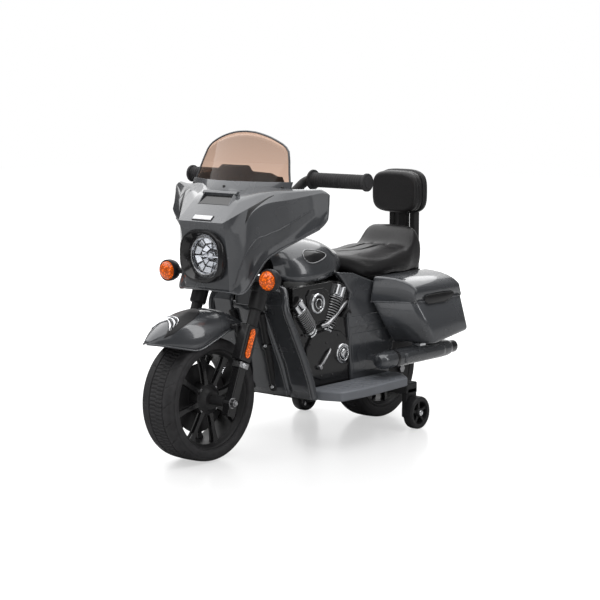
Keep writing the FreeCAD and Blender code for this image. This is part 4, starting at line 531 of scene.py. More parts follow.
def smoked_screen(colours):
    """Tinted clear sheet with faint handling marks."""
    made = Finish("smoked_sheet")
    height = made.node("ShaderNodeSeparateXYZ", {}, {0: made.place}, "Z")
    tint = colours.screen
    base = made.mix(made.band(height, 0.61, 0.72), tone(tint, 1.25), tone(tint, 0.85))
    made.shade(Base_Color=base, Roughness=made.band(made.noise(30, 4), 0.4, 0.8, 0.01, 0.06),
               Transmission_Weight=1.0, IOR=1.12, Coat_Weight=0.25, Coat_Roughness=0.03)
    return made


def lens(name, colour, through, glow, cell, shadow, bumps, bend=1.46):
    """Clear coloured plastic with moulded prisms; its colour is painted darker towards each prism's
    edge by the shadow share, painted shade, and it gives off a painted glow in that colour.
    """
    made = Finish(name)
    prism = made.cells(cell)
    base = made.mix(made.band(prism, 0.05, 0.6), tone(colour, 1.1), tone(colour, shadow))
    # Emission is painted glow: the lens gives off its own colour though no lamp is lit behind it
    made.shade(Base_Color=base, Roughness=made.band(prism, 0.0, 0.7, 0.05, 0.2),
               Transmission_Weight=through, IOR=bend, Coat_Weight=0.5, Coat_Roughness=0.04,
               Emission_Color=base, Emission_Strength=glow, Normal=made.relief(prism, bumps, 0.8))
    return made


def clear_lens(colours):
    """Clear headlamp cover."""
    return lens("clear_cover", colours.white, through=1.0, glow=0.0, cell=60, shadow=0.99,
                bumps=0.02, bend=1.08)


def amber_lens(colours):
    """Orange lens with a strong painted glow."""
    return lens("amber_prisms", colours.amber, through=0.1, glow=0.85, cell=240, shadow=0.3,
                bumps=0.6)


def red_lens(colours):
    """Red lens with a faint painted glow."""
    return lens("red_prisms", colours.red, through=0.3, glow=0.03, cell=170, shadow=0.5, bumps=0.6)


def white_lens(colours):
    """Milky lens with a painted glow."""
    return lens("milky_prisms", colours.white, through=0.1, glow=0.25, cell=260, shadow=0.85,
                bumps=0.4)


MADE = {}
MAKERS = {maker.__name__: maker for maker in (
    body_grey, lit_tread_grey, black_plastic, gloss_black, frame_paint, battery_case, bush_nylon, steel,
    chrome_trim, tyre_rubber, grip_rubber, seat_vinyl, smoked_screen, clear_lens, amber_lens,
    red_lens, white_lens)}


def finish(slot):
    """The finish of a record slot, or of the footboards' tread with its painted light, made once.
    """
    if slot not in MADE:
        MADE[slot] = MAKERS[slot](bpy.context.scene.bike_colours)
    return MADE[slot]


class BikeSizes(bpy.types.PropertyGroup):
    """Sizes of the modelled details."""

    tread_depth: FloatProperty(name="Tread depth", description="Depth of the tread blocks",
                               default=1.8 * MM, unit="LENGTH")
    cut_depth: FloatProperty(name="Cut depth", description="Depth of the slanted shoulder cuts",
                             default=1.8 * MM, unit="LENGTH")
    spokes: IntProperty(name="Spokes", description="Spokes in each road wheel", default=8)
    grip_ribs: IntProperty(name="Grip ribs", description="Ribs along each hand grip", default=20)
    fins: IntProperty(name="Cooling fins", description="Fins on each cylinder", default=11)
    channel: FloatProperty(name="Seat channel", description="Depth of the seat's grooves",
                           default=4.5 * MM, unit="LENGTH")
    swell: FloatProperty(name="Swell", description="Most that a padded point moves", default=6 * MM,
                         unit="LENGTH")


def shade_of(name, text, value):
    """A colour property."""
    return FloatVectorProperty(name=name, description=text, default=value, subtype="COLOR", size=3,
                               min=0, max=1)


class BikeColours(bpy.types.PropertyGroup):
    """Colours of the finishes."""

    bodywork: shade_of("Bodywork", "Gunmetal of the painted bodywork", (0.057, 0.060, 0.066))
    black: shade_of("Black", "Satin black parts", (0.018, 0.0178, 0.0187))
    gloss: shade_of("Gloss black", "Polished black parts", (0.010, 0.0098, 0.0105))
    rubber: shade_of("Rubber", "Tyres and grips", (0.029, 0.0283, 0.0297))
    vinyl: shade_of("Vinyl", "Seat and backrest", (0.018, 0.0172, 0.018))
    steel: shade_of("Steel", "Plated steel", (0.42, 0.42, 0.43))
    chrome: shade_of("Chrome", "Bright plated trim", (0.82, 0.83, 0.85))
    screen: shade_of("Screen", "Tint of the windshield", (0.50, 0.345, 0.265))
    amber: shade_of("Amber", "Signals and reflectors", (0.92, 0.145, 0.004))
    red: shade_of("Red", "Tail lamp", (0.55, 0.01, 0.012))
    white: shade_of("White", "Lamp covers", (0.80, 0.81, 0.83))
    nylon: shade_of("Nylon", "Bushes", (0.55, 0.53, 0.48))
    battery: shade_of("Battery", "Battery case", (0.06, 0.065, 0.07))
    floor: shade_of("Floor", "Studio floor", (0.45, 0.45, 0.45))


class BikeStage(bpy.types.PropertyGroup):
    """Camera and light."""

    azimuth: FloatProperty(name="Azimuth", description="Camera's turn round the bike",
                           default=math.radians(40), subtype="ANGLE")
    elevation: FloatProperty(name="Elevation", description="Camera's tilt down",
                             default=math.radians(7.7), subtype="ANGLE")
    lens: FloatProperty(name="Lens", description="Focal length in millimetres", default=102)
    sky: FloatProperty(name="Sky", description="Strength of the even light", default=0.14)
    key: FloatProperty(name="Key", description="Power of the side soft boxes", default=12,
                       unit="POWER")
    top: FloatProperty(name="Top", description="Power of the overhead soft box", default=290,
                       unit="POWER")
    back: FloatProperty(name="Back", description="Power of the soft box behind", default=38,
                        unit="POWER")


class Step(bpy.types.Operator):
    """Common part of the making steps."""

    bl_idname = "motorbike.step"
    bl_label = "Step"
    bl_options = {"REGISTER", "UNDO"}

    def execute(self, context):
        self.make(context.scene.bike_sizes)
        return {"FINISHED"}


# Wheels

# Share of the half width, drop below the crown in millimetres, from the bead outwards
TYRE_SHARES = ((0.80, 29.0), (0.88, 28.0), (0.965, 25.5), (0.995, 21.0), (1.0, 17.5), (0.996, 13.5),
               (0.986, 11.6), (0.970, 11.8), (0.972, 10.6), (0.955, 8.0), (0.92, 5.4), (0.87, 3.6),
               (0.81, 2.5), (0.75, 1.8), (0.69, 1.35), (0.63, 1.0), (0.57, 0.75), (0.51, 0.55),
               (0.45, 0.45), (0.43, 2.6), (0.38, 2.6), (0.36, 0.35), (0.30, 0.25), (0.22, 0.15),
               (0.13, 0.05), (0.045, 0.0), (0.03, 0.0))
# Steps round the tyre: in all, from block to block, between two blocks, and from cut to cut
TREAD_TURNS, BLOCK_TURNS, GROOVE_TURNS, CUT_TURNS = 480, 5, 2, 24
# Shares of the half width that the blocks and the shoulder cuts take up, and how the cuts lean
BLOCK_BAND, CUT_BAND, CUT_LEAN = (0.02, 0.37), (0.5, 0.88), 22


def tyre_drop(share, turn, sizes):
    """How far the tread is cut away at a share of the half width and a turn."""
    side = abs(share)
    if BLOCK_BAND[0] < side < BLOCK_BAND[1]:
        shift = BLOCK_TURNS // 2 if share < 0 else 0
        return sizes.tread_depth if (turn + shift) % BLOCK_TURNS < GROOVE_TURNS else 0.0
    if CUT_BAND[0] < side < CUT_BAND[1]:
        lean = int((side - CUT_BAND[0]) * CUT_LEAN)
        return sizes.cut_depth if (turn + lean) % CUT_TURNS == 0 else 0.0
    return 0.0


def tyre(hub, radius, half, sizes):
    """A tyre with a blocked centre band, slanted shoulder cuts and a ringed wall."""
    rings = []
    for share, drop in (*TYRE_SHARES, *((-s, d) for s, d in reversed(TYRE_SHARES))):
        ring = []
        for turn in range(TREAD_TURNS):
            angle = 2 * math.pi * turn / TREAD_TURNS
            reach = (radius - drop) * MM - tyre_drop(share, turn, sizes)
            ring.append(hub + round_axle(share * half * MM, reach, angle))
        rings.append(ring)
    return Form().skin(rings, joined=True)


# Share of a spoke's length, and its breadth and depth there
SPOKE_SHARES = ((0, 1.25, 0.9), (0.25, 0.95, 1.0), (0.6, 0.9, 1.0), (0.86, 1.15, 1.05),
                (1, 1.7, 1.1))


def spoke(form, hub, turn, inner, outer, half, width):
    """A tapered spoke with a proud face on each side."""
    out = Vector((0, math.cos(turn), math.sin(turn)))
    side = Vector((0, -math.sin(turn), math.cos(turn)))
    rings = []
    for share, broad, deep in SPOKE_SHARES:
        foot = hub + out * (inner + (outer - inner) * share) * MM
        w, d = width / 2 * broad, half * deep
        section = ((w, d), (w * 0.55, d * 0.5), (w * 0.5, 0), (w * 0.55, -d * 0.5), (w, -d))
        right = [foot + side * a * MM + span(b) for a, b in section]
        left = [foot - side * a * MM + span(b) for a, b in reversed(section)]
        rings.append(right + left)
    form.skin(rings)


def rim(hub, radius, half, hub_half):
    """A moulded rim: stepped barrel and hub."""
    form = Form()
    barrel = [(-half, radius + 1), (-half, radius - 4), (-half + 3, radius - 6.5),
              (-half + 9, radius - 8.5), (-half + 12, radius - 11), (half - 12, radius - 11),
              (half - 9, radius - 8.5), (half - 3, radius - 6.5), (half, radius - 4),
              (half, radius + 1)]
    form.lathe(barrel, hub, ACROSS, 96, joined=True)
    form.lathe([(-2.5, 30), (-2.5, radius * 0.70), (2.5, radius * 0.70), (2.5, 30)], hub, ACROSS,
               64, joined=True)
    plate = half * 0.68
    form.lathe([(-hub_half, 8), (-hub_half, 21), (-hub_half + 3, 24), (-plate - 4, 28),
                (-plate, 36), (-plate + 6, 38), (plate - 6, 38), (plate, 36), (plate + 4, 28),
                (hub_half - 3, 24), (hub_half, 21), (hub_half, 8)], hub, ACROSS, 64, joined=True)
    return form


def spokes(hub, radius, half, count):
    """Narrow flat-faced spokes near both faces of the wheel."""
    form = Form()
    for side in SIDES:
        layer = hub + span(side * half * 0.56)
        for i in range(count):
            spoke(form, layer, 2 * math.pi * (i + 0.27) / count, 30, radius - 9, 6.5,
                  radius * 0.108)
    return form


def hub_bolts(hub, place, circle, count):
    """Cross-head screws round a hub, on both sides."""
    form = Form()
    for i in range(count):
        turn = 2 * math.pi * (i + 0.5) / count
        for side in SIDES:
            foot = hub + round_axle(side * place * MM, circle * MM, turn)
            form.lathe([(0, 3.4), (1.4, 3.4), (2.2, 2.4), (2.2, 1.3), (1.2, 0)], foot, (side, 0, 0),
                       14)
    return form


def road_wheel(word, hub, tyre_size, rim_size, hub_half, screw_place, sizes):
    """Tyre, rim, spokes and hub screws of a wheel; each size is a radius and a half width."""
    body = f"{word}_wheel"
    tread = tyre(hub, *tyre_size, sizes)
    tread.piece(f"{word}_tyre_tread", "tyre_rubber", body, [f"{word}_tyre"], sharp=30)
    moulding = rim(hub, *rim_size, hub_half)
    moulding.piece(f"{word}_rim_moulding", "black_plastic", body, [f"{word}_rim"], round_off=1.2)
    spokes(hub, *rim_size, sizes.spokes).piece(f"{word}_spokes", "gloss_black", body, round_off=1.2)
    hub_bolts(hub, screw_place, 33, 4).piece(f"{word}_hub_screws", "steel", body)


class FrontWheel(Step):
    """Front tyre, rim, spokes, screws and valve"""

    bl_idname = "motorbike.front_wheel"
    bl_label = "Front wheel"

    def make(self, sizes):
        road_wheel("front", FRONT_HUB, (140, 48.5), (112, 41), 40, 27.5, sizes)
        valve = Form()
        valve.tube([at(18, 62, 203), at(20, 55, 196), at(22, 50, 191)], [3.4, 3.0, 2.4], 12)
        valve.piece("front_valve", "chrome_trim", "front_wheel")


class RearWheel(Step):
    """Rear tyre, rim, spokes and screws"""

    bl_idname = "motorbike.rear_wheel"
    bl_label = "Rear wheel"

    def make(self, sizes):
        road_wheel("rear", REAR_HUB, (130, 38), (101, 35), 44, 23.5, sizes)


STABILISER_SPOKES = 5


class Stabilisers(Step):
    """Stabiliser wheels with spokes and screws"""

    bl_idname = "motorbike.stabilisers"
    bl_label = "Stabilisers"

    def make(self, sizes):
        for side, word in SIDE_WORDS:
            node = f"{word}_stabiliser_wheel"
            hub = middle(node)
            wheel = Form()
            wheel.lathe([(-12, 28), (-13, 31), (-13, 36), (-11, 39), (-7, 40), (7, 40), (11, 39),
                         (13, 36), (13, 31), (12, 28)], hub, ACROSS, 72, joined=True)
            wheel.lathe([(-13, 4), (-13, 9), (-9, 11), (9, 11), (13, 9), (13, 4)], hub, ACROSS, 36,
                        joined=True)
            for i in range(STABILISER_SPOKES):
                spoke(wheel, hub, 2 * math.pi * (i + 0.3) / STABILISER_SPOKES, 9, 30, 8, 8)
            wheel.piece(f"{word}_stabiliser_moulding", "black_plastic", f"{word}_stabiliser",
                        [node], round_off=0.8)
            screw = Form()
            face = hub + span(side * 13)
            screw.lathe([(0, 7), (1.6, 7), (3.0, 5.4), (3.2, 2.5), (2.2, 2.2), (2.2, 0)], face,
                        (side, 0, 0), 24)
            screw.piece(f"{word}_stabiliser_screw", "chrome_trim", f"{word}_stabiliser")


# Steering group

# Outline of a fork reflector beside the fork: back and up
REFLECTOR = ((-13.5, 107), (-8, 100), (-5, 100), (0.5, 105), (0.5, 160), (-5, 167), (-8, 167),
             (-13.5, 162))


class Fork(Step):
    """Fork legs, sleeves, clamps, brackets and reflectors"""

    bl_idname = "motorbike.fork"
    bl_label = "Fork"

    def make(self, sizes):
        legs = Form()
        legs.box((78, -16, -34), (100, 8, 92), fork_at)
        legs.both().piece("fork_lower_legs", "gloss_black", "steering", ["fork_legs"], round_off=3,
                          rounds=3)
        up = FORK.to_3x3() @ UP
        tubes = Form()
        tubes.lathe([(92, 13), (278, 13)], fork_at(89, 0, 0), up, 32)
        tubes.both().piece("fork_tubes", "black_plastic", "steering")
        sleeves = Form()
        sleeves.lathe([(210, 13), (212, 17.5), (216, 19), (250, 19), (252, 20.5), (262, 20.5),
                       (264, 13)], fork_at(89, 0, 0), up, 40)
        sleeves.both().piece("fork_sleeves", "black_plastic", "steering", round_off=0.8)
        bracket = Form()
        bracket.box((75, -25, 92), (103, 13, 175), fork_at)
        bracket.both().piece("reflector_brackets", "gloss_black", "steering", ["fork_brackets"],
                             round_off=4, rounds=3)
        shine = Form()
        shine.prism([fork_at(102.6, y, z) for y, z in REFLECTOR], span(3.6))
        shine.both().piece("side_reflectors", "amber_lens", "steering", ["fork_reflectors"],
                           round_off=1.0)
        strap = Form()
        strap.box((76, -18.5, 76), (102.2, 10.5, 90), fork_at)
        strap.both().piece("leg_straps", "steel", "steering", round_off=2.2)
        screws = Form()
        screws.lathe([(0, 5.4), (1.2, 5.4), (1.2, 4), (3.4, 4), (4.2, 2.8), (4.2, 1.6), (3, 0)],
                     fork_at(102, -6, 83), ACROSS, 18)
        screws.both().piece("strap_screws", "chrome_trim", "steering")
        nuts = Form()
        nuts.lathe([(0, 9), (6, 9), (7.2, 7.8), (7.2, 5.4), (5.4, 5.2)], at(101, 0, 140), ACROSS, 6)
        nuts.lathe([(0, 4.4), (11, 4.4), (12, 3.4), (12, 0)], at(101, 0, 140), ACROSS, 20)
        nuts.lathe([(-0.5, 12), (1.2, 12), (1.2, 5)], at(100, 0, 140), ACROSS, 32)
        nuts.both().piece("axle_nuts", "steel", "steering", round_off=0.4)
        crown = Form()
        crown.box((-103, -16, 262), (103, 16, 278), fork_at)
        crown.piece("fork_crown_plate", "frame_paint", "steering", ["fork_crown"], round_off=4,
                    rounds=3)


# Share of the length, half width, crest and side heights
FENDER_SHARES = ((0, 0.10, 0.32, 0.27), (0.10, 0.48, 0.56, 0.21), (0.24, 0.78, 0.80, 0.10),
                 (0.41, 0.95, 0.96, 0), (0.60, 1, 1, 0.21), (0.76, 1, 0.93, 0.40),
                 (0.90, 0.96, 0.72, 0.37), (1, 0.89, 0.50, 0.28))
FENDER_TIP, FENDER_LENGTH, FENDER_HALF, FENDER_SIDE, FENDER_RISE = -168, 280, 54, 260, 81
# Rear edges of the black inlay and of the bright drop on it: share across, share along
INLAY_REAR = ((0, 0.56), (0.3, 0.545), (0.51, 0.50), (0.66, 0.405), (0.78, 0.265), (0.86, 0.19),
              (0.9, 0.125))
DROP_REAR = ((0, 0.305), (0.3, 0.31), (0.5, 0.295), (0.63, 0.25), (0.72, 0.17))


def fender_point(along, share, lift=0.0):
    """A point of the front fender's skin, lifted off it by millimetres."""
    half, crest, side = row_at(FENDER_SHARES, along)
    low, high = FENDER_SIDE + FENDER_RISE * side, FENDER_SIDE + FENDER_RISE * crest
    back = FENDER_TIP + FENDER_LENGTH * along
    return at(share * (FENDER_HALF * half + lift), back, arch(share, low, high) + lift)


def arch_shares(count):
    """Shares across an arch, closer together at its feet."""
    return [math.sin(t) for t in steps(count, -math.pi / 2, math.pi / 2)]


def fender_ornament():
    """Black inlay on the front fender's crest, and the bright chevrons on it."""
    inlay = Form()
    rows = []
    for s in steps(48, -0.9, 0.9):
        front, rear = 0.26 - 0.17 * abs(s) ** 1.3, line_at(INLAY_REAR, abs(s))
        rows.append([fender_point(a, s, 1.2) for a in steps(16, front, rear)])
    inlay.sheet(rows)
    inlay.piece("fender_crest", "black_plastic", "steering", ["fender_inlay"], wall=1.8)
    drop = Form()
    for low, high in ((0, 0.3), (0.42, 0.68), (0.8, 1)):
        rows = []
        for s in steps(32, -0.72, 0.72):
            front, rear = 0.235 - 0.1 * abs(s), line_at(DROP_REAR, abs(s))
            marks = ((low, 1.6), ((low + high) / 2, 3.4), (high, 1.6))
            rows.append([fender_point(front + (rear - front) * t, s, lift)
                         for t, lift in marks])
        drop.sheet(rows)
    drop.piece("fender_drop", "chrome_trim", "steering", wall=1.4, sharp=12)


class Fender(Step):
    """Front fender with its lip, inlay and ornament"""

    bl_idname = "motorbike.fender"
    bl_label = "Front fender"

    def make(self, sizes):
        shell = Form()
        across = arch_shares(28)
        shell.sheet([[fender_point(a, s) for s in across] for a in steps(40)])
        shell.piece("fender_shell", "body_grey", "steering", ["front_fender"], wall=3, sharp=60)
        lip = Form()
        right = [fender_point(a, 1) for a in steps(40)]
        left = [fender_point(a, -1) for a in steps(40, 1, 0)]
        back = [fender_point(1, s) for s in across[::-1]]
        lip.tube(right + back[1:-1] + left, 2.2, 10)
        lip.piece("fender_lip", "body_grey", "steering")
        fender_ornament()
        stays = Form()
        stays.box((48, 44, 296), (78, 66, 306))
        stays.box((70, 40, 290), (78, 62, 308))
        stays.both().piece("fender_stays", "gloss_black", "steering", round_off=2)


# Depth and rise of six points from top to bottom, for each share of the half width
FAIRING_SHARES = (
    (0.0, ((0.514, 1.018), (0, 0.680), (0.017, 0.596), (0.050, 0.311), (0.072, 0.092),
           (0.077, 0.018))),
    (0.278, ((0.514, 1.018), (0, 0.680), (0.039, 0.583), (0.094, 0.311), (0.116, 0.092),
             (0.122, 0))),
    (0.409, ((0.558, 1.018), (0.243, 0.807), (0.193, 0.662), (0.210, 0.399), (0.232, 0.136),
             (0.249, 0.022))),
    (0.473, ((0.591, 1.013), (0.359, 0.868), (0.271, 0.785), (0.304, 0.618), (0.403, 0.399),
             (0.481, 0.285))),
    (0.549, ((0.635, 1.004), (0.503, 0.939), (0.381, 0.860), (0.436, 0.684), (0.514, 0.509),
             (0.575, 0.377))),
    (0.696, ((0.735, 0.996), (0.669, 0.969), (0.608, 0.899), (0.652, 0.750), (0.702, 0.596),
             (0.735, 0.491))),
    (1.0, ((0.967, 1.004), (0.945, 1.0), (0.923, 0.987), (0.912, 0.882), (0.890, 0.763),
           (0.857, 0.662))))
NOSE, FAIRING_DEPTH, FAIRING_HALF, CHIN, FAIRING_RISE = 7, 181, 237, 379, 228
BONNET_FOOT, BONNET_HEAD = (7, 534), (100, 611)


def bonnet_at(across, up, lift=0.0):
    """A point on the bonnet plane: across, up the slope from the nose edge, and lifted off it."""
    run = Vector((BONNET_HEAD[0] - BONNET_FOOT[0], BONNET_HEAD[1] - BONNET_FOOT[1])).normalized()
    back = BONNET_FOOT[0] + run.x * up - run.y * lift
    return at(across, back, BONNET_FOOT[1] + run.y * up + run.x * lift)


FAIRING_ROWS = [(share, *(number for point in points for number in point))
                for share, points in FAIRING_SHARES]
# Shares of the half width where the nose ends and where the wing tip starts
NOSE_HALF, WING_TIP = 0.278, 0.90
# Height and roundness of the wing tip
TIP_MIDDLE, TIP_ROUND = 0.84, 0.55
LAST_MARK = 5


def fairing_point(share, mark, lift=0.0):
    """A point of the fairing's skin; mark runs from 0 at the top to the last mark at the bottom."""
    side = abs(share)
    flat = row_at(FAIRING_ROWS[1:] if side > NOSE_HALF else FAIRING_ROWS[:2], side)
    k = min(int(mark), LAST_MARK - 1)
    t = mark - k
    depth, rise = (flat[2 * k + n] * (1 - t) + flat[2 * k + 2 + n] * t for n in (0, 1))
    tip = max(side - WING_TIP, 0) / (1 - WING_TIP)
    if mark < 2:
        depth, rise = depth + (flat[4] - depth) * tip, rise + (flat[5] - rise) * tip
    rise += (TIP_MIDDLE - rise) * TIP_ROUND * (1 - (1 - tip ** 2) ** 0.5)
    across = share * FAIRING_HALF + math.copysign(lift * 0.6, share)
    back = NOSE + FAIRING_DEPTH * depth - lift * 0.8
    return at(across, back, CHIN + FAIRING_RISE * rise)


# Share of the half width and mark along the moulded step
STEP_LINE = ((0, 5), (0.285, 5), (0.31, 4.3), (0.365, 3.5), (0.41, 3.15), (0.43, 3.15),
             (0.455, 3.35), (0.51, 3.6), (0.60, 3.65), (0.685, 3.45), (0.805, 3.2), (1, 3.0))
# Depth of the step and flare of the hem in millimetres
STEP_DEPTH, FLARE = 7, 8
# Share of the half width where the step ends, and over which it fades
STEP_END, STEP_FADE = 0.9, 0.15
# Marks above the hem where the step is full, and marks that its wall takes up
STEP_FULL, STEP_WALL = 1.85, 0.34
# Share and mark along the foot of the slots, black sheets of painted shade
SLOT_FOOT = ((0.42, 2.0), (0.46, 1.75), (0.51, 1.4), (0.565, 1.06))


def wing_row(share):
    """Points down the fairing at a share of its half width, stepped in below the step line."""
    side = abs(share)
    foot = line_at(STEP_LINE, side)
    room = LAST_MARK - foot
    ease = min(max((STEP_END - side) / STEP_FADE, 0), 1) * min(room / STEP_FULL, 1)
    under = foot + STEP_WALL * min(room, 1)
    above = [fairing_point(share, m) for m in (0, 0.5, 1, 1.5, *steps(8, 2, foot))]
    below = []
    for t in steps(5):
        lift = (FLARE * t - STEP_DEPTH * (1 - t)) * ease
        below.append(fairing_point(share, under + (LAST_MARK - under) * t, lift))
    return above + below


# Height of the headlamp's middle
LAMP_UP = 457


def lamp_outline(half, rise, back, power=2.6, count=48, up=LAMP_UP):
    """Points of a rounded outline across the bike; a power of 2 is an ellipse."""
    found = []
    for k in range(count):
        turn = 2 * math.pi * k / count
        c, s = math.cos(turn), math.sin(turn)
        across = math.copysign(abs(c) ** (2 / power), c)
        above = math.copysign(abs(s) ** (2 / power), s)
        found.append(at(half * across, back, up + rise * above))
    return found


def cut_opening(item, outline, depth):
    """Cuts an outline carried along a depth out of a piece's skin."""
    cutter = placed("opening", Form().prism(outline, depth).data("opening"))
    cut = item.modifiers.new("Opening", "BOOLEAN")
    cut.operation, cut.object, cut.solver = "DIFFERENCE", cutter, "EXACT"
    bake(item)
    bpy.data.objects.remove(cutter)


def bake(item):
    """Applies an object's modifiers to its mesh."""
    shaped = item.evaluated_get(bpy.context.evaluated_depsgraph_get())
    data = bpy.data.meshes.new_from_object(shaped)
    item.modifiers.clear()
    item.data = data


def bonnet_scoop():
    """Frame of the scoop on the bonnet, and its floor in gloss black, painted shade in the scoop's
    hollow.
    """
    scoop = Form()
    for side in SIDES:
        x = side * 44
        scoop.skin([[bonnet_at(x, up, -1), bonnet_at(x, up, high),
                     bonnet_at(x + side * 2, up, high), bonnet_at(x + side * 8, up, -1)]
                    for up, high in ((54, 0.4), (94, 8))])
    ridge = ((84, -1), (86, 7.4), (93, 8), (98, 1))
    scoop.skin([[bonnet_at(x, up, high) for up, high in ridge] for x in (-51, 51)])
    scoop.piece("scoop_frame", "body_grey", "steering", round_off=1.2)
    # Painted shade: a gloss black block on the bonnet stands in for the darkness of the scoop's
    # hollow
    floor = Form()
    floor.box((-44.5, 56, -1), (44.5, 86, 0.7), bonnet_at)
    floor.piece("scoop_floor", "gloss_black", "steering", round_off=0.4)


def running_light():
    """Rim and ribbed lens of the light on the nose."""
    light = Form()
    light.box((-29, 4, -1), (29, 20, 2.0), bonnet_at)
    light.piece("running_light_rim", "gloss_black", "steering", round_off=1.0)
    glow = Form()
    glow.box((-27, 6, 0), (27, 18, 3.0), bonnet_at)
    for k in range(9):
        glow.box((-25 + k * 5.7, 7.5, 2.8), (-21.5 + k * 5.7, 16.5, 3.6), bonnet_at)
    glow.piece("running_light_lens", "white_lens", "steering", ["running_light"], round_off=0.6)


class Fairing(Step):
    """Fairing shell with its stepped wings, slots of painted shade, scoop and running light"""

    bl_idname = "motorbike.fairing"
    bl_label = "Fairing"

    def make(self, sizes):
        shares = [0, *steps(24, NOSE_HALF, 0.70), 0.73, 0.76, 0.79, 0.82, 0.85, 0.875,
                  *steps(8, WING_TIP, 0.99)]
        rows = [wing_row(s) for s in [-x for x in shares[:0:-1]] + shares]
        shell = Form()
        shell.sheet(rows)
        item = shell.piece("fairing_skin", "body_grey", "steering", ["fairing_shell"], sharp=16)
        cut_opening(item, lamp_outline(56, 52, -40), span(back=120))
        thicken(item, 4)
        hem = Form()
        hem.tube([row[-1] for row in rows[6:-6]], 2.2, 10)
        hem.piece("fairing_hem", "body_grey", "steering")
        line = Form()
        line.tube([fairing_point(x, line_at(STEP_LINE, x), 0.4) for x in steps(60, 0.31, 0.84)],
                  1.5, 8)
        line.both().piece("wing_lines", "body_grey", "steering")
        # The slots are black sheets laid on the skin: painted shade, not cut openings
        slots = Form()
        slots.sheet([[fairing_point(s, m, 0.8) for m in steps(4, 1.03, line_at(SLOT_FOOT, s))]
                     for s in steps(10, 0.42, 0.565)])
        slots.both().piece("fairing_slot_shades", "black_plastic", "steering", wall=1.5)
        bonnet_scoop()
        running_light()


# Half width, half height and depth of the bezel's rings, some with a roundness of their own
LAMP_RINGS = ((64, 60, 22), (64, 60, 10), (61, 57, 4), (56, 52, 3), (48, 46, 12, 2.2),
              (43, 43, 20, 2.0), (43, 43, 46, 2.0))
# Inner and outer radius, depth at each, count and turn of the two rings of facets
FACET_RINGS = ((27, 39, 38, 33, 11, 0.0), (15, 25, 45, 40, 9, 0.5))


def lamp_facets():
    """Two rings of tilted facets in the headlamp's bowl."""
    facets = Form()
    for inner, outer, near, far, count, turn in FACET_RINGS:
        for k in range(count):
            tilt = 2.6 if k % 2 else -2.6
            patch = []
            for angle, lean in ((-0.41, tilt), (0.41, -tilt)):
                way = 2 * math.pi * (k + turn + angle) / count
                out = Vector((math.cos(way), 0, math.sin(way))) * MM
                patch.append((at(0, near + lean, LAMP_UP) + out * inner,
                              at(0, far + lean * 0.5, LAMP_UP) + out * outer))
            (a, b), (c, d) = patch
            facets.prism([a, b, d, c], span(back=2))
    facets.piece("headlamp_facets", "chrome_trim", "steering", round_off=0.5)


class Headlamp(Step):
    """Headlamp bezel, ring, bowl, facets, bulb shield and cover"""

    bl_idname = "motorbike.headlamp"
    bl_label = "Headlamp"

    def make(self, sizes):
        bezel = Form()
        bezel.skin([lamp_outline(*ring) for ring in LAMP_RINGS], capped=False)
        bezel.piece("headlamp_surround", "gloss_black", "steering", ["headlamp_bezel"], wall=2,
                    sharp=50)
        ring = Form()
        ring.lathe([(0, 41), (-4, 43.5), (-6, 43), (-6, 40.5), (0, 39)], at(0, 26, LAMP_UP), BACK,
                   64, joined=True)
        ring.piece("headlamp_ring", "chrome_trim", "steering")
        # Painted shade: the bowl is gloss black so that the gaps between the chrome facets show as
        # dark seams
        bowl = Form()
        bowl.lathe([(0, 41), (7, 38), (16, 31), (24, 21), (30, 9), (31, 5)], at(0, 34, LAMP_UP),
                   BACK, 48, capped=False)
        bowl.piece("headlamp_reflector", "gloss_black", "steering", ["headlamp_bowl"], wall=1.5)
        lamp_facets()
        bulb = Form()
        bulb.lathe([(0, 0), (1, 5), (4, 8), (8, 9.5), (20, 10), (30, 6)], at(0, 36, LAMP_UP), BACK,
                   28)
        bulb.box((-39, 36, 452.5), (39, 39, 455.5))
        bulb.piece("headlamp_shield", "chrome_trim", "steering", round_off=0.6)
        cover = Form()
        cover.lathe([(7, 41), (3, 38), (-1, 30), (-3.5, 18), (-4.5, 6), (-4.6, 0)],
                    at(0, 22, LAMP_UP), BACK, 64)
        cover.piece("headlamp_cover", "clear_lens", "steering", ["headlamp_lens"], sharp=80)


class Signals(Step):
    """Turn signal cups, stalks and lenses"""

    bl_idname = "motorbike.signals"
    bl_label = "Turn signals"

    def make(self, sizes):
        mouth = at(153, 58, 410)
        cups = Form()
        cups.lathe([(30, 6), (28, 15), (20, 22), (10, 25), (0, 25), (-2, 24.4), (-2, 22), (4, 21)],
                   mouth, BACK, 48)
        cups.tube([at(153, 76, 410), at(120, 74, 410), at(87, 72, 410)], 7, 20)
        cups.both().piece("signal_cups", "black_plastic", "steering", ["signal_housings"])
        lenses = Form()
        lenses.lathe([(4, 22), (0, 22), (-4, 21), (-9, 17.5), (-12, 12), (-13.6, 6), (-14, 0)],
                     mouth, BACK, 12)
        lenses.both().piece("signal_prisms", "amber_lens", "steering", ["signal_lenses"], sharp=6)


# Shares of the half width and the height along the edges of the windshield and the dash behind it
SCREEN_EDGE = ((0, 1), (0.2, 0.985), (0.45, 0.92), (0.64, 0.835), (0.75, 0.765), (0.82, 0.675),
               (0.855, 0.56), (0.92, 0.29), (1, 0.0))
DASH_EDGE = ((0, 0.46), (0.27, 0.46), (0.36, 0.37), (0.66, 0.345), (0.80, 0.27), (0.88, 0.17),
             (0.93, 0.10))
SCREEN_HALF, SCREEN_FOOT, SCREEN_RISE = 150, 592, 137


def screen_point(share, rise, lift=0.0):
    """A point of the windshield's outer face."""
    centre, side = 81 + 79 * rise, 140 + 57 * rise
    back = centre + (side - centre) * share ** 2 - lift
    return at(share * SCREEN_HALF, back, SCREEN_FOOT + SCREEN_RISE * rise)


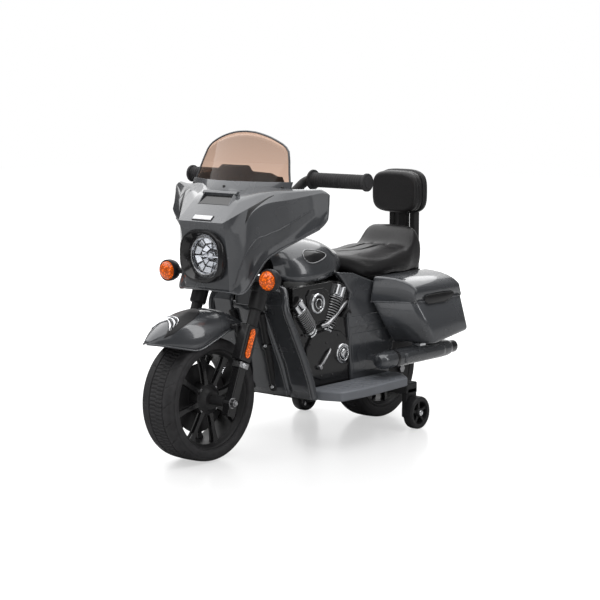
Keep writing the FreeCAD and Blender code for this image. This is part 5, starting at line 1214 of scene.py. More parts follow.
class Windshield(Step):
    """Windshield with its edge, base strip, gasket and screws, and the dash face behind it"""

    bl_idname = "motorbike.windshield"
    bl_label = "Windshield"

    def make(self, sizes):
        across = [math.sin(t) * 0.995 for t in steps(36, -math.pi / 2, math.pi / 2)]
        tops = [row_at(SCREEN_EDGE, abs(s))[0] for s in across]
        screen = Form()
        screen.sheet([[screen_point(s, top * t) for t in steps(10)]
                      for s, top in zip(across, tops)])
        screen.piece("windshield_sheet", "smoked_screen", "steering", ["windshield"], wall=2,
                     sharp=60)
        rim_line = Form()
        rim_line.tube([screen_point(s, top, -1) for s, top in zip(across, tops)], 2.5, 10)
        rim_line.piece("windshield_edge", "body_grey", "steering")
        strip = Form()
        rings = []
        for s in steps(30, -0.985, 0.985):
            low, high = screen_point(s, 0.0), screen_point(s, 0.21)
            out = span(back=-4)
            bulge = span(back=-5.5)
            rings.append([low, low + out, (low + high) / 2 + bulge, high + out, high])
        strip.skin(rings)
        strip.piece("windshield_band", "body_grey", "steering", ["windshield_strip"], sharp=50)
        gap = Form()
        gap.tube([screen_point(s, -0.005, 4.6) for s in steps(40, -0.985, 0.985)], 1.2, 8)
        gap.piece("windshield_gasket", "black_plastic", "steering")
        face = Form()
        face.sheet([[screen_point(s, t, -4.2) for t in steps(6, 0.0, line_at(DASH_EDGE, abs(s)))]
                    for s in steps(60, -0.93, 0.93)])
        face.piece("dash_face", "black_plastic", "steering", wall=1.5, sharp=60)
        screws = Form()
        for s in (-0.89, 0, 0.89):
            screws.lathe([(0, 3.4), (1.5, 3.4), (2.4, 2.4), (2.4, 1.4), (1.2, 0)],
                         screen_point(s, 0.12, 5), (0, -1, 0.2), 20)
        screws.piece("windshield_screws", "gloss_black", "steering")


class Grips(Step):
    """Ribbed hand grips with flanges and end caps"""

    bl_idname = "motorbike.grips"
    bl_label = "Hand grips"

    def make(self, sizes):
        grips = Form()
        low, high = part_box("hand_grips")
        centre = Vector((0, (low.y + high.y) / 2, (low.z + high.z) / 2))
        profile = [(109, 12), (109, 22.5), (110, 23.2), (113, 23.2), (114, 22.5), (114.5, 17.5)]
        pitch = 138 / sizes.grip_ribs
        for k in range(sizes.grip_ribs):
            foot = 119 + k * pitch
            profile += [(foot, 15.3), (foot + pitch * 0.25, 16.8), (foot + pitch * 0.7, 16.6),
                        (foot + pitch * 0.95, 15.3)]
        profile += [(258, 16.8), (262, 17), (262.5, 19.6), (263.5, 20.2), (268, 20.2), (269, 19.6),
                    (269.5, 13), (271, 12), (271, 4)]
        grips.lathe(profile, centre, ACROSS, 40)
        grips.both().piece("ribbed_grips", "grip_rubber", "steering", ["hand_grips"], sharp=35)


# Bodywork on the frame

# Share of the length, half width, crest and side heights
TANK_SHARES = ((0, 0.56, 0.76, 0.17), (0.10, 0.83, 0.89, 0.04), (0.32, 0.98, 0.98, 0),
               (0.56, 1, 1, 0.02), (0.77, 0.93, 0.91, 0.11), (1, 0.67, 0.68, 0.19))
TANK_FRONT, TANK_LENGTH, TANK_HALF, TANK_FOOT, TANK_RISE = 192, 230, 99, 384, 94
# Middle of a tank plate, and the share of its size and the lift of each ring of it
PLATE_BACK, PLATE_UP = 296, 440
PLATE_RINGS = ((1, -1), (1, 1.2), (0.5, 2.4), (0.02, 2.8))


def tank_point(along, share):
    """A point of the tank's skin."""
    half, crest, side = row_at(TANK_SHARES, along)
    low, high = TANK_FOOT + TANK_RISE * side, TANK_FOOT + TANK_RISE * crest
    return at(share * TANK_HALF * half, TANK_FRONT + TANK_LENGTH * along, arch(share, low, high))


def tank_side(back, up, lift):
    """A point on the tank's side at a distance back and a height."""
    along = (back - TANK_FRONT) / TANK_LENGTH
    half, crest, side = row_at(TANK_SHARES, along)
    low, high = TANK_FOOT + TANK_RISE * side, TANK_FOOT + TANK_RISE * crest
    t = min(max((up - low) / (high - low), 0.0), 1.0)
    share = (1 - t ** ARCH_POWER) ** (1 / ARCH_POWER)
    return at(share * TANK_HALF * half + lift, back, up)


class Tank(Step):
    """Tank cover and the bare plates on its sides"""

    bl_idname = "motorbike.tank"
    bl_label = "Tank"

    def make(self, sizes):
        shell = Form()
        across = arch_shares(32)
        rows = [[tank_point(a, s) for s in across] for a in steps(30)]
        front = [at(p.x / MM * 0.55, TANK_FRONT + 14, max(p.z / MM - 12, TANK_FOOT + 6))
                 for p in rows[0]]
        shell.sheet([front] + rows)
        shell.piece("tank_skin", "body_grey", "chassis", ["tank_cover"], wall=3, sharp=50)
        plate, edge = Form(), Form()
        outline = []
        for t in steps(40, 0, 2 * math.pi)[:-1]:
            reach = 33 if math.cos(t) < 0 else 44
            outline.append((reach * math.cos(t), 14 * math.sin(t) * (1 - 0.35 * math.cos(t))))
        rings = [[tank_side(PLATE_BACK + back * share, PLATE_UP + up * share, lift)
                  for back, up in outline] for share, lift in PLATE_RINGS]
        plate.skin(rings)
        plate.both().piece("tank_plates", "gloss_black", "chassis", sharp=50)
        edge.tube(rings[1], 1.1, 8, looped=True)
        edge.both().piece("tank_plate_edges", "steel", "chassis")


# Roundness, points and middle height of the backrest's outline
PAD_POWER, PAD_POINTS, PAD_UP = 3.5, 64, 562.5


def pad_outline(half, rise, back):
    """Rounded outline of the backrest."""
    return lamp_outline(half, rise, back, PAD_POWER, PAD_POINTS, PAD_UP)


# The seat's two grooves: place across, width, and the height that they stay above
GROOVE_AT, GROOVE_WIDE, GROOVE_FLOOR = 22, 3.2, 400
# Where the grooves end, and the length over which they fade
GROOVE_ENDS, GROOVE_FADE = (440, 640), 60
# The groove round the backrest's rim: place back, width, depth, and the height of its middle
RIM_AT, RIM_WIDE, RIM_DEEP, RIM_MIDDLE = 732, 2.4, 3.0, 562


def swollen(data, name, voxel, cap, shrink):
    """A padded piece: a solid drawn in a little, remeshed and blown up as cloth."""
    item = placed(name, data)
    remesh = item.modifiers.new("Even", "REMESH")
    remesh.mode, remesh.voxel_size = "VOXEL", voxel
    bake(item)
    for vertex, normal in zip(item.data.vertices, [v.normal.copy() for v in item.data.vertices]):
        vertex.co -= normal * shrink
    blow_up(item, cap)
    smooth = item.modifiers.new("Smooth", "SUBSURF")
    smooth.levels = smooth.render_levels = 1
    bake(item)
    item.data.polygons.foreach_set("use_smooth", [True] * len(item.data.polygons))
    return item


# Air pressure, stiffness of the vinyl and frames that the swelling takes
PRESSURE, STIFFNESS, SWELL_FRAMES = 3, 8, 20
# Height at the foot that stays held, and rounds of averaging that take out the creases
HELD, EVEN_ROUNDS = 6, 40


def blow_up(item, cap):
    """Swells an object as cloth with air in it; the lowest points stay where they rest."""
    rest = [v.co.copy() for v in item.data.vertices]
    floor = min(p.z for p in rest) + HELD * MM
    held = item.vertex_groups.new(name="held")
    held.add([i for i, p in enumerate(rest) if p.z < floor], 1.0, "REPLACE")
    cloth = item.modifiers.new("Swell", "CLOTH")
    cloth.settings.use_pressure = True
    cloth.settings.uniform_pressure_force = PRESSURE
    cloth.settings.bending_stiffness = STIFFNESS
    cloth.settings.vertex_group_mass = "held"
    cloth.settings.effector_weights.gravity = 0
    cloth.collision_settings.use_collision = False
    for number in range(1, SWELL_FRAMES + 1):
        bpy.context.scene.frame_set(number)
    bake(item)
    bpy.context.scene.frame_set(1)
    moves = [vertex.co - start for vertex, start in zip(item.data.vertices, rest)]
    moves = [move.normalized() * min(move.length, cap) for move in moves]
    for vertex, start, move in zip(item.data.vertices, rest, evened(moves, item.data.edges)):
        vertex.co = start + move


def evened(moves, edges):
    """Each point's motion averaged with its neighbours', which takes out creases."""
    pairs = [tuple(edge.vertices) for edge in edges]
    for _ in range(EVEN_ROUNDS):
        total, count = [move.copy() for move in moves], [1] * len(moves)
        for one, other in pairs:
            total[one] += moves[other]
            total[other] += moves[one]
            count[one] += 1
            count[other] += 1
        moves = [move / number for move, number in zip(total, count)]
    return moves


class Seat(Step):
    """Swollen vinyl seat with two lengthwise channels, and the padded backrest"""

    bl_idname = "motorbike.seat"
    bl_label = "Seat"

    def make(self, sizes):
        item = swollen(frame["nodes"]["seat_cushion"].data.copy(), "seat_pad", 4.5 * MM,
                       sizes.swell, 2 * MM)
        for vertex in item.data.vertices:
            x, back, up = vertex.co.x / MM, (vertex.co.y - FRONT_HUB.y) / MM, vertex.co.z / MM
            start = min(max((back - GROOVE_ENDS[0]) / GROOVE_FADE, 0), 1)
            end = min(max((GROOVE_ENDS[1] - back) / GROOVE_FADE, 0), 1)
            channel = math.exp(-((abs(x) - GROOVE_AT) / GROOVE_WIDE) ** 2)
            if up > GROOVE_FLOOR:
                vertex.co.z -= sizes.channel * (start * end) * channel
        dress(item, "seat_vinyl", "chassis", ["seat_cushion"])
        blank = Form()
        blank.skin([pad_outline(64, 46, 713), pad_outline(71, 53, 717), pad_outline(74, 55.5, 723),
                    pad_outline(74, 55.5, 744), pad_outline(70, 52, 748)])
        pad = swollen(blank.data("backrest_blank"), "backrest_cushion", 4 * MM, sizes.swell, 3 * MM)
        centre = at(0, 0, RIM_MIDDLE)
        for vertex in pad.data.vertices:
            back = (vertex.co.y - FRONT_HUB.y) / MM
            seam = math.exp(-((back - RIM_AT) / RIM_WIDE) ** 2)
            out = Vector((vertex.co.x, 0, vertex.co.z - centre.z))
            if out.length > 0:
                vertex.co -= out.normalized() * seam * RIM_DEEP * MM
        dress(pad, "seat_vinyl", "chassis", ["backrest_pad"])


# Front bodywork between the fork and the engine

SHIELD = Matrix.Translation(at(0, 160, 340)) @ Matrix.Rotation(math.radians(18.8), 4, "X")
CREST = Matrix.Translation(at(0, 160, 340)) @ Matrix.Rotation(math.radians(-26.6), 4, "X")
# Drop of the leg shields and of the fold in them, and how far they flare below it
SHIELD_DROP, SHIELD_FOLD, SHIELD_FLARE = 230, 158, 0.16


def shield_at(across, back, up):
    """A point beside the leg shields' plane, from its top edge."""
    return SHIELD @ (Vector((across, back, up)) * MM)


def crest_at(across, back, up):
    """A point beside the plane above the leg shields' top edge."""
    return CREST @ (Vector((across, back, up)) * MM)


def shield_edge(drop):
    """Inner and outer edge of a leg shield at a drop from its top."""
    share = drop / SHIELD_DROP
    return 47 + 33 * share, 112 + 38 * share


def shield_flare(drop):
    """How far forward a leg shield stands at a drop from its top."""
    return -max(drop - SHIELD_FOLD, 0) * SHIELD_FLARE


def cowl_panels():
    """Cowl between the leg shields, cover of the neck, and beads down the cowl."""
    cowl = Form()
    rows = []
    for drop in steps(12, 0, 226):
        half = 46 + 33 * drop / SHIELD_DROP
        rows.append([shield_at(x * half, shield_flare(drop) - 8 * (1 - x * x), -drop)
                     for x in steps(12, -1, 1)])
    cowl.sheet(rows)
    cowl.piece("cowl_panel", "body_grey", "chassis", ["front_cowl"], wall=4)
    neck = Form()
    neck.box((-27, 148, 333), (27, 166, 398))
    neck.piece("neck_cover", "body_grey", "chassis", round_off=5, rounds=3)
    bead = Form()
    path = ((46, -2, -26), (50, -3, -90), (60, -5, -160), (72, -14, -226))
    bead.tube(bent([shield_at(*place) for place in path]), 2.4)
    bead.both().piece("cowl_beads", "body_grey", "chassis")


def tube_clamps():
    """Clamps round the down tubes, and their screws."""
    low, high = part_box("down_tubes")
    top = Vector((high.x - 8 * MM, low.y + 8 * MM, high.z))
    foot = Vector((30 * MM, high.y - 8 * MM, low.z))
    clamps, screws = Form(), Form()
    for share in (0.40, 0.90):
        place = top.lerp(foot, share)
        clamps.lathe([(-6, 8.2), (-6, 11.4), (-4, 12), (4, 12), (6, 11.4), (6, 8.2)], place,
                     top - foot, 28, joined=True)
        screws.lathe([(10, 4.2), (13, 4.2), (14.4, 2.8), (14.4, 1.4), (13, 0)], place,
                     (0.35, -1, 0.2), 18)
    clamps.both().piece("tube_clamps", "black_plastic", "chassis", round_off=0.8)
    screws.both().piece("clamp_screws", "chrome_trim", "chassis")


class LegShields(Step):
    """Leg shields with ridges and folds, cowl, neck cover and down tube clamps"""

    bl_idname = "motorbike.leg_shields"
    bl_label = "Leg shields"

    def make(self, sizes):
        shield = Form()
        rows = [[crest_at(x, 0, 45) for x in steps(6, 51, 84)],
                [crest_at(x, 0, 22) for x in steps(6, 51, 99)]]
        for drop in (0, 8, 40, 80, 120, SHIELD_FOLD, SHIELD_FOLD + 4, 196, SHIELD_DROP):
            inner, outer = shield_edge(drop)
            rows.append([shield_at(x, shield_flare(drop), -drop)
                         for x in steps(6, inner - 1.5, outer)])
        shield.sheet(rows)
        shield.both().piece("shield_panels", "body_grey", "chassis", ["leg_shields"], wall=4,
                            sharp=20)
        ridge = Form()
        down = [shield_at(shield_edge(drop)[1], 1 + shield_flare(drop), -drop)
                for drop in (226, 180, 120, 60, 16)]
        path = bent(down + [crest_at(108, 3, 14), crest_at(97, 3, 34), crest_at(80, 3, 46)], 6)
        ridge.tube(path, [8.5] * (len(path) - 6) + [8.2, 7.6, 6.8, 5.8, 4.6, 3], 20)
        ridge.both().piece("shield_ridges", "body_grey", "chassis")
        cowl_panels()
        tube_clamps()


# Engine and side panels

# Shares of the length and the height round the engine covers and the side panels
ENGINE_SHARES = ((0.219, 0), (1, 0), (1, 0.853), (0.702, 1), (0, 0.984), (0, 0.736))
PANEL_SHARES = ((0.230, 0), (0.811, 0), (1, 0.612), (1, 0.827), (0.602, 0.871), (0.459, 0.914),
                (0.254, 0.975), (0, 1), (0.205, 0.799), (0.156, 0.647))
# Outlines of the raised crankcase and air box on the engine covers: back and up
CRANKCASE = ((252, 168), (300, 150), (372, 150), (404, 176), (404, 232), (372, 258), (330, 268),
             (270, 262), (246, 226))
AIR_BOX = ((258, 300), (276, 288), (322, 288), (334, 304), (330, 356), (312, 366), (262, 366),
           (250, 352))
# Width from the middle to the face that the engine's relief stands on
ENGINE_FACE = 102
# Foot back, foot height, lean in degrees and length of the two cylinders
CYLINDERS = ((275, 262, -39, 98), (326, 262, 24, 112))
# Shares of a cylinder's length that its fins and its head take up
FIN_SHARE, HEAD_SHARE = 0.62, 0.22
# Share of the fins' spacing that is metal
FIN_THICK = 0.34
# Places of the bolts: back and up
ENGINE_BOLTS = ((262, 176), (300, 160), (340, 158), (396, 236), (362, 250), (258, 240), (318, 236),
                (266, 352), (310, 354), (328, 312), (262, 312), (232, 340), (236, 300), (242, 262),
                (408, 300), (406, 330))
BEADS = 20


def side_outline(shares, across, front, length, low, rise):
    """Points of an outline on one side of the bike from shares of its length and height."""
    return [at(across, front + length * a, low + rise * b) for a, b in shares]


def half_round(foot, across, half, depth, count=14):
    """Points of a half-round section that stands out from the engine's face."""
    return [foot + across * half * math.cos(t) * MM + ACROSS * depth * math.sin(t) ** 0.8 * MM
            for t in steps(count, 0, math.pi)]


def stack(form, foot, along, across, marks, thick, half, depth):
    """Half-round plates at marks along a cylinder."""
    for mark in marks:
        place = foot + along * mark * MM
        form.prism(half_round(place, across, half, depth), along * thick * MM)


def cylinders(count):
    """Finned cylinders with their cores and heads; count is the fins on each."""
    fins, bright, core = Form(), Form(), Form()
    for back, up, lean, length in CYLINDERS:
        along = Vector((0, math.sin(math.radians(lean)), math.cos(math.radians(lean))))
        across = Vector((0, along.z, -along.y))
        foot = at(ENGINE_FACE - 2, back, up)
        finned = length * FIN_SHARE
        marks = [16 + k * finned / count for k in range(count)]
        thick = finned / count * FIN_THICK
        stack(fins, foot, along, across, marks, thick, 20.5, 15)
        stack(core, foot, along, across, [mark - 0.35 for mark in marks], thick + 0.7, 19, 13.6)
        stack(core, foot, along, across, [10], length * 0.72, 15, 8)
        stack(bright, foot, along, across, [0, 8], 5, 15, 12)
        head = foot + along * (finned + 18) * MM
        for shift in (-9.5, 9.5):
            rocker = head + across * shift * MM
            stack(bright, rocker, along, across, [0], length * HEAD_SHARE, 8, 15)
        stack(core, head, along, across, [length * HEAD_SHARE], 6, 17, 13)
        stack(bright, head, along, across, [-4], 2.4, 20, 14.5)
    fins.both().piece("cooling_fins", "steel", "chassis", ["engine_trim"], round_off=0.4)
    core.both().piece("cylinder_cores", "gloss_black", "chassis", round_off=1)
    bright.both().piece("cylinder_trim", "chrome_trim", "chassis", round_off=1.2)


def round_covers():
    """Round covers with rings, beads and discs, and the bolts round them."""
    rings = Form()
    hub = at(ENGINE_FACE + 2, 286, 332)
    rings.lathe([(-1, 24), (5, 24), (7, 22), (7, 19.5), (4, 18)], hub, ACROSS, 48)
    rings.lathe([(4, 12), (7.4, 12), (8, 11), (7.4, 9.6), (4, 9.6)], hub, ACROSS, 40,
                joined=True)
    gear = at(ENGINE_FACE + 4, 379, 204)
    rings.lathe([(-1, 24), (3, 24), (4.4, 23), (4.4, 19), (3, 18)], gear, ACROSS, 48)
    rings.lathe([(2, 12), (7, 12), (9, 9.5), (9.6, 5), (9.6, 0)], gear, ACROSS, 32)
    for k in range(BEADS):
        bead = gear + round_axle(4 * MM, 15.6 * MM, 2 * math.pi * k / BEADS)
        rings.lathe([(-1, 1.5), (0.8, 1.5), (1.6, 0.8), (1.8, 0)], bead, ACROSS, 8)
    bolts = Form()
    for back, up in ENGINE_BOLTS:
        foot = at(ENGINE_FACE + (4 if up < 270 else 1), back, up)
        bolts.lathe([(-1, 3), (2, 3), (2.8, 2), (2.8, 1), (2, 0)], foot, ACROSS, 6)
    bolts.both().piece("engine_bolts", "gloss_black", "chassis", sharp=30)
    rings.both().piece("engine_bright_trim", "chrome_trim", "chassis", sharp=30)
    discs = Form()
    discs.lathe([(-1, 19), (4.6, 18.4), (6, 14), (6.6, 0)], hub, ACROSS, 48)
    discs.lathe([(-1, 19), (3.6, 18.6), (4, 12)], gear, ACROSS, 48)
    discs.both().piece("engine_discs", "gloss_black", "chassis")


def pipework():
    """Shift lever, bent pipe and ribbed hose."""
    lever = Form()
    lever.tube([at(110, 292, 184), at(113, 300, 192), at(113, 322, 214), at(110, 330, 220)],
               [2.5, 3.2, 3.2, 2.5], 14)
    lever.lathe([(-4, 6), (4, 6), (6, 4.6), (6, 0)], at(110, 290, 182), ACROSS, 24)
    pipes = [at(106, 300, 276), at(112, 318, 282), at(110, 352, 300), at(104, 386, 318),
             at(96, 410, 326)]
    lever.tube(bent(pipes, 8), 5, 16)
    lever.both().piece("shift_lever", "steel", "chassis")
    hose = Form()
    line = bent([at(104, 410, 296), at(107, 400, 304), at(108, 388, 300), at(106, 380, 290)], 8)
    hose.tube(line, [5 if k % 2 else 3.8 for k in range(len(line))], 14)
    hose.both().piece("ribbed_hose", "black_plastic", "chassis")


class Engine(Step):
    """Engine covers with finned cylinders, heads, pipes, round covers and bolts"""

    bl_idname = "motorbike.engine"
    bl_label = "Engine"

    def make(self, sizes):
        cover = Form()
        cover.prism(side_outline(ENGINE_SHARES, 84, 205, 215, 120, 258), span(17))
        for outline, proud in ((CRANKCASE, 7), (AIR_BOX, 5)):
            cover.prism([at(100, back, up) for back, up in outline], span(proud))
        cover.both().piece("engine_panels", "gloss_black", "chassis", ["engine_covers"],
                           round_off=3, rounds=3)
        cylinders(sizes.fins)
        round_covers()
        pipework()


class SidePanels(Step):
    """Side panels under the seat with their raised belt"""

    bl_idname = "motorbike.side_panels"
    bl_label = "Side panels"

    def make(self, sizes):
        panel = Form()
        panel.prism(side_outline(PANEL_SHARES, 90, 358, 244, 120, 278), span(18))
        panel.both().piece("panel_skins", "body_grey", "chassis", ["side_panels"], round_off=5,
                           rounds=4)
        belt = Form()
        for corners, proud in ((((398, 288), (592, 288), (596, 262), (402, 262)), 3.4),
                               (((420, 150), (540, 150), (578, 246), (410, 246)), 3.0)):
            belt.prism([at(106, back, up) for back, up in corners], span(proud))
        belt.both().piece("panel_belts", "body_grey", "chassis", round_off=1.4, rounds=3)


# Bags

BAG_IN, BAG_WIDE, BAG_FRONT, BAG_REAR, BAG_SEAM, BAG_LOW = 112, 98, 474, 721, 319, 205
# Share of the width, and the lid's height there
LID_SHARES = ((0.0, 1.0), (0.25, 0.975), (0.5, 0.92), (0.7, 0.82), (0.85, 0.70), (0.95, 0.56),
              (1.0, 0.46))
LID_LOW, LID_RISE = 319.5, 57.5
# Outline of the bare plate on a lid: back and up
LID_PLATE = ((566, 329), (576, 331.5), (646, 332), (678, 330), (684, 325), (670, 316), (648, 309),
             (583, 309), (570, 313), (562, 322))
# Reach of the test for points at a level, in metres
LEVEL_REACH = 1e-5


def bag_row(share):
    """The bag's side outline at a share of its width."""
    front = BAG_FRONT + 50 * share
    x = BAG_IN + BAG_WIDE * share
    return [at(x, front, BAG_SEAM), at(x, BAG_REAR, BAG_SEAM), at(x, BAG_REAR + 37, BAG_LOW + 20),
            at(x, front + 88, BAG_LOW)]


def lid_row(share, height):
    """The lid's side outline at a share of its width."""
    front = BAG_FRONT + 50 * share
    x = BAG_IN + BAG_WIDE * share
    top = LID_LOW + LID_RISE * height
    return [at(x, front, LID_LOW), at(x, BAG_REAR, LID_LOW), at(x, BAG_REAR - 20 * height, top),
            at(x, front + 16 * height, top)]


def hollow(form, level, radius):
    """Rounds a closed form but for its edges at a level, and opens it there."""
    def flat(part):
        return all(abs(v.co.z - level * MM) < LEVEL_REACH for v in part.verts)

    form.soften(radius, rounds=5, limit=18, keep=flat)
    bmesh.ops.delete(form.mesh, geom=[face for face in form.mesh.faces if flat(face)],
                     context="FACES")


def flip(form):
    """Turns a form into its mirror image."""
    for vertex in form.mesh.verts:
        vertex.co.x = -vertex.co.x


def knuckles(form, spans):
    """Hinge barrels along X."""
    for start, end in spans:
        form.lathe([(start, 2.6), (start, 4.6), (end, 4.6), (end, 2.6)], at(0, 728, 319.25), ACROSS,
                   20, joined=True)


def bag_lid(side, word):
    """One bag's lid with its knuckle, bare plate and the plate's edge."""
    lid = Form()
    lid.skin([lid_row(s, h) for s, h in LID_SHARES])
    hollow(lid, LID_LOW, 9)
    trim, plate, edge = Form(), Form(), Form()
    knuckles(trim, ((142, 180),))
    under = [at(209, b, u) for b, u in LID_PLATE]
    face = [at(212.2, b, u) for b, u in LID_PLATE]
    inner = [at(212.8, 622 + (b - 622) * 0.9, 321 + (u - 321) * 0.8) for b, u in LID_PLATE]
    plate.skin([under, face, inner])
    edge.tube(face, 1.1, 8, looped=True)
    if side < 0:
        for form in (lid, trim, plate, edge):
            flip(form)
    lid.piece(f"{word}_lid_shell", "body_grey", f"{word}_lid", [f"{word}_bag_lid"], wall=3,
              sharp=50)
    trim.piece(f"{word}_lid_knuckle", "chrome_trim", f"{word}_lid", round_off=0.5)
    plate.piece(f"{word}_lid_plate", "gloss_black", f"{word}_lid", sharp=30)
    edge.piece(f"{word}_lid_plate_edge", "gloss_black", f"{word}_lid")


class Saddlebags(Step):
    """Saddlebags with hollow shells, fittings, hinged lids and bare plates"""

    bl_idname = "motorbike.saddlebags"
    bl_label = "Saddlebags"

    def make(self, sizes):
        bags = Form()
        bags.skin([bag_row(s) for s in steps(1)])
        hollow(bags, BAG_SEAM, 13)
        bags.both().piece("bag_shells", "body_grey", "chassis", ["saddlebags"], wall=3, sharp=50)
        fittings = Form()
        knuckles(fittings, ((122, 140), (182, 200)))
        fittings.box((150, 596, 198), (176, 618, 207))
        fittings.box((156, 600, 190), (170, 614, 200))
        fittings.both().piece("bag_fittings", "chrome_trim", "chassis", round_off=0.6)
        lip = Form()
        path = ((BAG_IN + 2, BAG_FRONT + 2), (206, 526), (210, 540), (210, 712), (206, 720.5),
                (BAG_IN + 2, 721))
        lip.tube([at(across, back, 316.6) for across, back in path], 1.6, 8)
        lip.both().piece("bag_seam_lips", "body_grey", "chassis")
        for side, word in SIDE_WORDS:
            bag_lid(side, word)


class Exhausts(Step):
    """Mufflers with stays, bands, open mouths and guards"""

    bl_idname = "motorbike.exhausts"
    bl_label = "Exhausts"

    def make(self, sizes):
        pipe = Form()
        start = at(166, 436, 182)
        pipe.lathe([(0, 6), (2, 13), (10, 18), (26, 20.6), (60, 21.4), (250, 21.4), (276, 20.6),
                    (288, 18), (290, 16)], start, BACK, 48)
        pipe.box((108, 470, 176), (160, 500, 188))
        pipe.box((108, 640, 176), (160, 664, 188))
        pipe.both().piece("mufflers", "body_grey", "chassis", ["exhausts"], sharp=35)
        mouth = Form()
        mouth.lathe([(286, 15.4), (290, 16.2), (294, 15.6), (310, 15.6), (312, 14.8), (312, 12.4),
                     (292, 11.6)], start, BACK, 48, joined=True)
        mouth.lathe([(58, 21), (58, 22.4), (66, 22.4), (66, 21)], start, BACK, 48, joined=True)
        mouth.both().piece("muffler_mouths", "gloss_black", "chassis", sharp=30)
        # Painted shade: a flat dark disc a little inside each mouth stands in for the depth of the
        # open bore
        dark = Form()
        dark.lathe([(288, 14), (293, 13), (293, 0)], start, BACK, 40)
        dark.both().piece("muffler_bore_shades", "frame_paint", "chassis")
        guard = Form()
        rows = []
        for share in steps(16):
            foot = start + span(back=84 + 168 * share)
            wide = 0.95 * math.sin(math.pi * min(max(share, 0.05), 0.95)) ** 0.35
            rows.append([foot + Vector((math.cos(t), 0, math.sin(t))) * 22.6 * MM
                         for t in steps(10, -wide, wide)])
        guard.sheet(rows)
        guard.both().piece("muffler_guards", "body_grey", "chassis", wall=1.4)


# Shares of the width and the length round a footboard
BOARD_SHARES = ((0, 0), (0.449, 0), (0.939, 0.057), (1, 0.32), (0.898, 0.867), (0.429, 1), (0, 1))
# Pin of the drive pedal, and the frame that it tips in
PEDAL_PIN = at(-158, 356, 145)
PEDAL = Matrix.Translation(PEDAL_PIN) @ Matrix.Rotation(math.radians(-18), 4, "X")


def pedal_at(across, back, up):
    """A point beside the drive pedal, from its pin."""
    return PEDAL @ (Vector((across, back, up)) * MM)


def drive_pedal():
    """Hinge ears, plate and ribbed tread of the drive pedal."""
    hinge = Form()
    for low, high in ((-192, -186.5), (-129.5, -124)):
        hinge.box((low, 350, 136), (high, 362, 145))
        hinge.lathe([(low, 2.8), (low, 7), (high, 7), (high, 2.8)], at(0, 356, 145), ACROSS, 24,
                    joined=True)
    hinge.piece("pedal_ears", "black_plastic", "chassis", round_off=0.6)
    plate, tread = Form(), Form()
    plate.box((-27, -68, -4), (27, 4, 3), pedal_at)
    plate.lathe([(-34, 2.6), (34, 2.6)], PEDAL_PIN, ACROSS, 16)
    plate.piece("pedal_plate", "steel", "pedal", ["foot_pedal"], round_off=1.5)
    for k in range(7):
        tread.box((-23, -64 + k * 9, 2.4), (23, -59.5 + k * 9, 4.6), pedal_at)
    tread.piece("pedal_tread", "grip_rubber", "pedal", round_off=0.8)


class Footboards(Step):
    """Footboards with ribbed tops, and the drive pedal"""

    bl_idname = "motorbike.footboards"
    bl_label = "Footboards"

    def make(self, sizes):
        boards = Form()
        boards.prism([at(108 + 98 * a, 244 + 316 * b, 115) for a, b in BOARD_SHARES], span(up=22.5))
        ribs = Form()
        for k in range(11):
            back = 276 + k * 25
            outer = 188 if 280 < back < 510 else 168
            ribs.tube([at(124, back, 137.2), at(outer, back + 4, 137.2)], 2.0, 8)
        treads = [boards.both().piece("board_steps", "body_grey", "chassis", ["footboards"],
                                      round_off=4.5, rounds=3),
                  ribs.both().piece("board_ribs", "body_grey", "chassis")]
        # The boards and ribs keep the bodywork slot but take the tread finish, painted lighter as
        # painted light on their tops
        for item in treads:
            item.data.materials[0] = finish("lit_tread_grey").material
        drive_pedal()


def rear_fender():
    """Rear fender over the wheel."""
    fender = Form()
    rows = []
    for turn in steps(48, math.radians(8), math.radians(150)):
        row = []
        for share in arch_shares(20):
            reach = (146 - 7 * abs(share) ** 4) * MM
            row.append(REAR_HUB + round_axle(share * 46 * MM, reach, turn))
        rows.append(row)
    fender.sheet(rows)
    fender.piece("rear_fender_shell", "body_grey", "chassis", ["rear_fender"], wall=3, sharp=60)


def tail_lamp():
    """Rim and ribbed lens of the tail lamp."""
    low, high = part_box("tail_lamp")
    back = (high.y - FRONT_HUB.y) / MM
    right, left, foot, top = (number / MM for number in (low.x, high.x, low.z, high.z))
    lamp, rimmed = Form(), Form()
    rimmed.box((right - 2, back - 16, foot - 2), (left + 2, back - 4, top + 2))
    rimmed.piece("tail_lamp_rim", "gloss_black", "chassis", round_off=2)
    lamp.box((right, back - 14, foot), (left, back - 1, top))
    for k in range(9):
        lamp.box((right + 3 + k * 5.2, back - 2, foot + 3),
                 (right + 6 + k * 5.2, back, top - 3))
    lamp.piece("tail_lamp_lens", "red_lens", "chassis", ["tail_lamp"], round_off=0.8)


def stabiliser_arms():
    """Arms that carry the stabiliser wheels."""
    arms = Form()
    arms.box((82, 558, 84), (164, 602, 112))
    arms.box((146, 560, 26), (164, 600, 100))
    arms.lathe([(0, 4), (27, 4)], at(164, 580, 40), ACROSS, 20)
    arms.both().piece("stabiliser_arms", "black_plastic", "chassis", ["stabiliser_brackets"],
                      round_off=5, rounds=3)


def backrest_frame():
    """Posts and back shell of the backrest."""
    posts = Form()
    for x in (-40, 24):
        posts.box((x, 752, 365), (x + 16, 775, 512))
    posts.box((-13, 754, 372), (13, 770, 512))
    posts.box((-40, 750, 365), (40, 776, 392))
    posts.piece("backrest_posts", "frame_paint", "chassis", ["backrest_bracket"], round_off=3,
                rounds=3)
    shell = Form()
    rows = [pad_outline(70, 52, 746), pad_outline(75, 56, 750), pad_outline(75, 56, 758),
            pad_outline(70, 51, 764)]
    shell.skin(rows)
    shell.box((-34, 758, 506), (34, 776, 560))
    shell.piece("backrest_back", "black_plastic", "chassis", ["backrest_shell"], round_off=1.5)


class Tail(Step):
    """Rear fender, tail lamp, stabiliser arms and backrest frame"""

    bl_idname = "motorbike.tail"
    bl_label = "Tail"

    def make(self, sizes):
        rear_fender()
        tail_lamp()
        stabiliser_arms()
        backrest_frame()


# Remaining CAD nodes

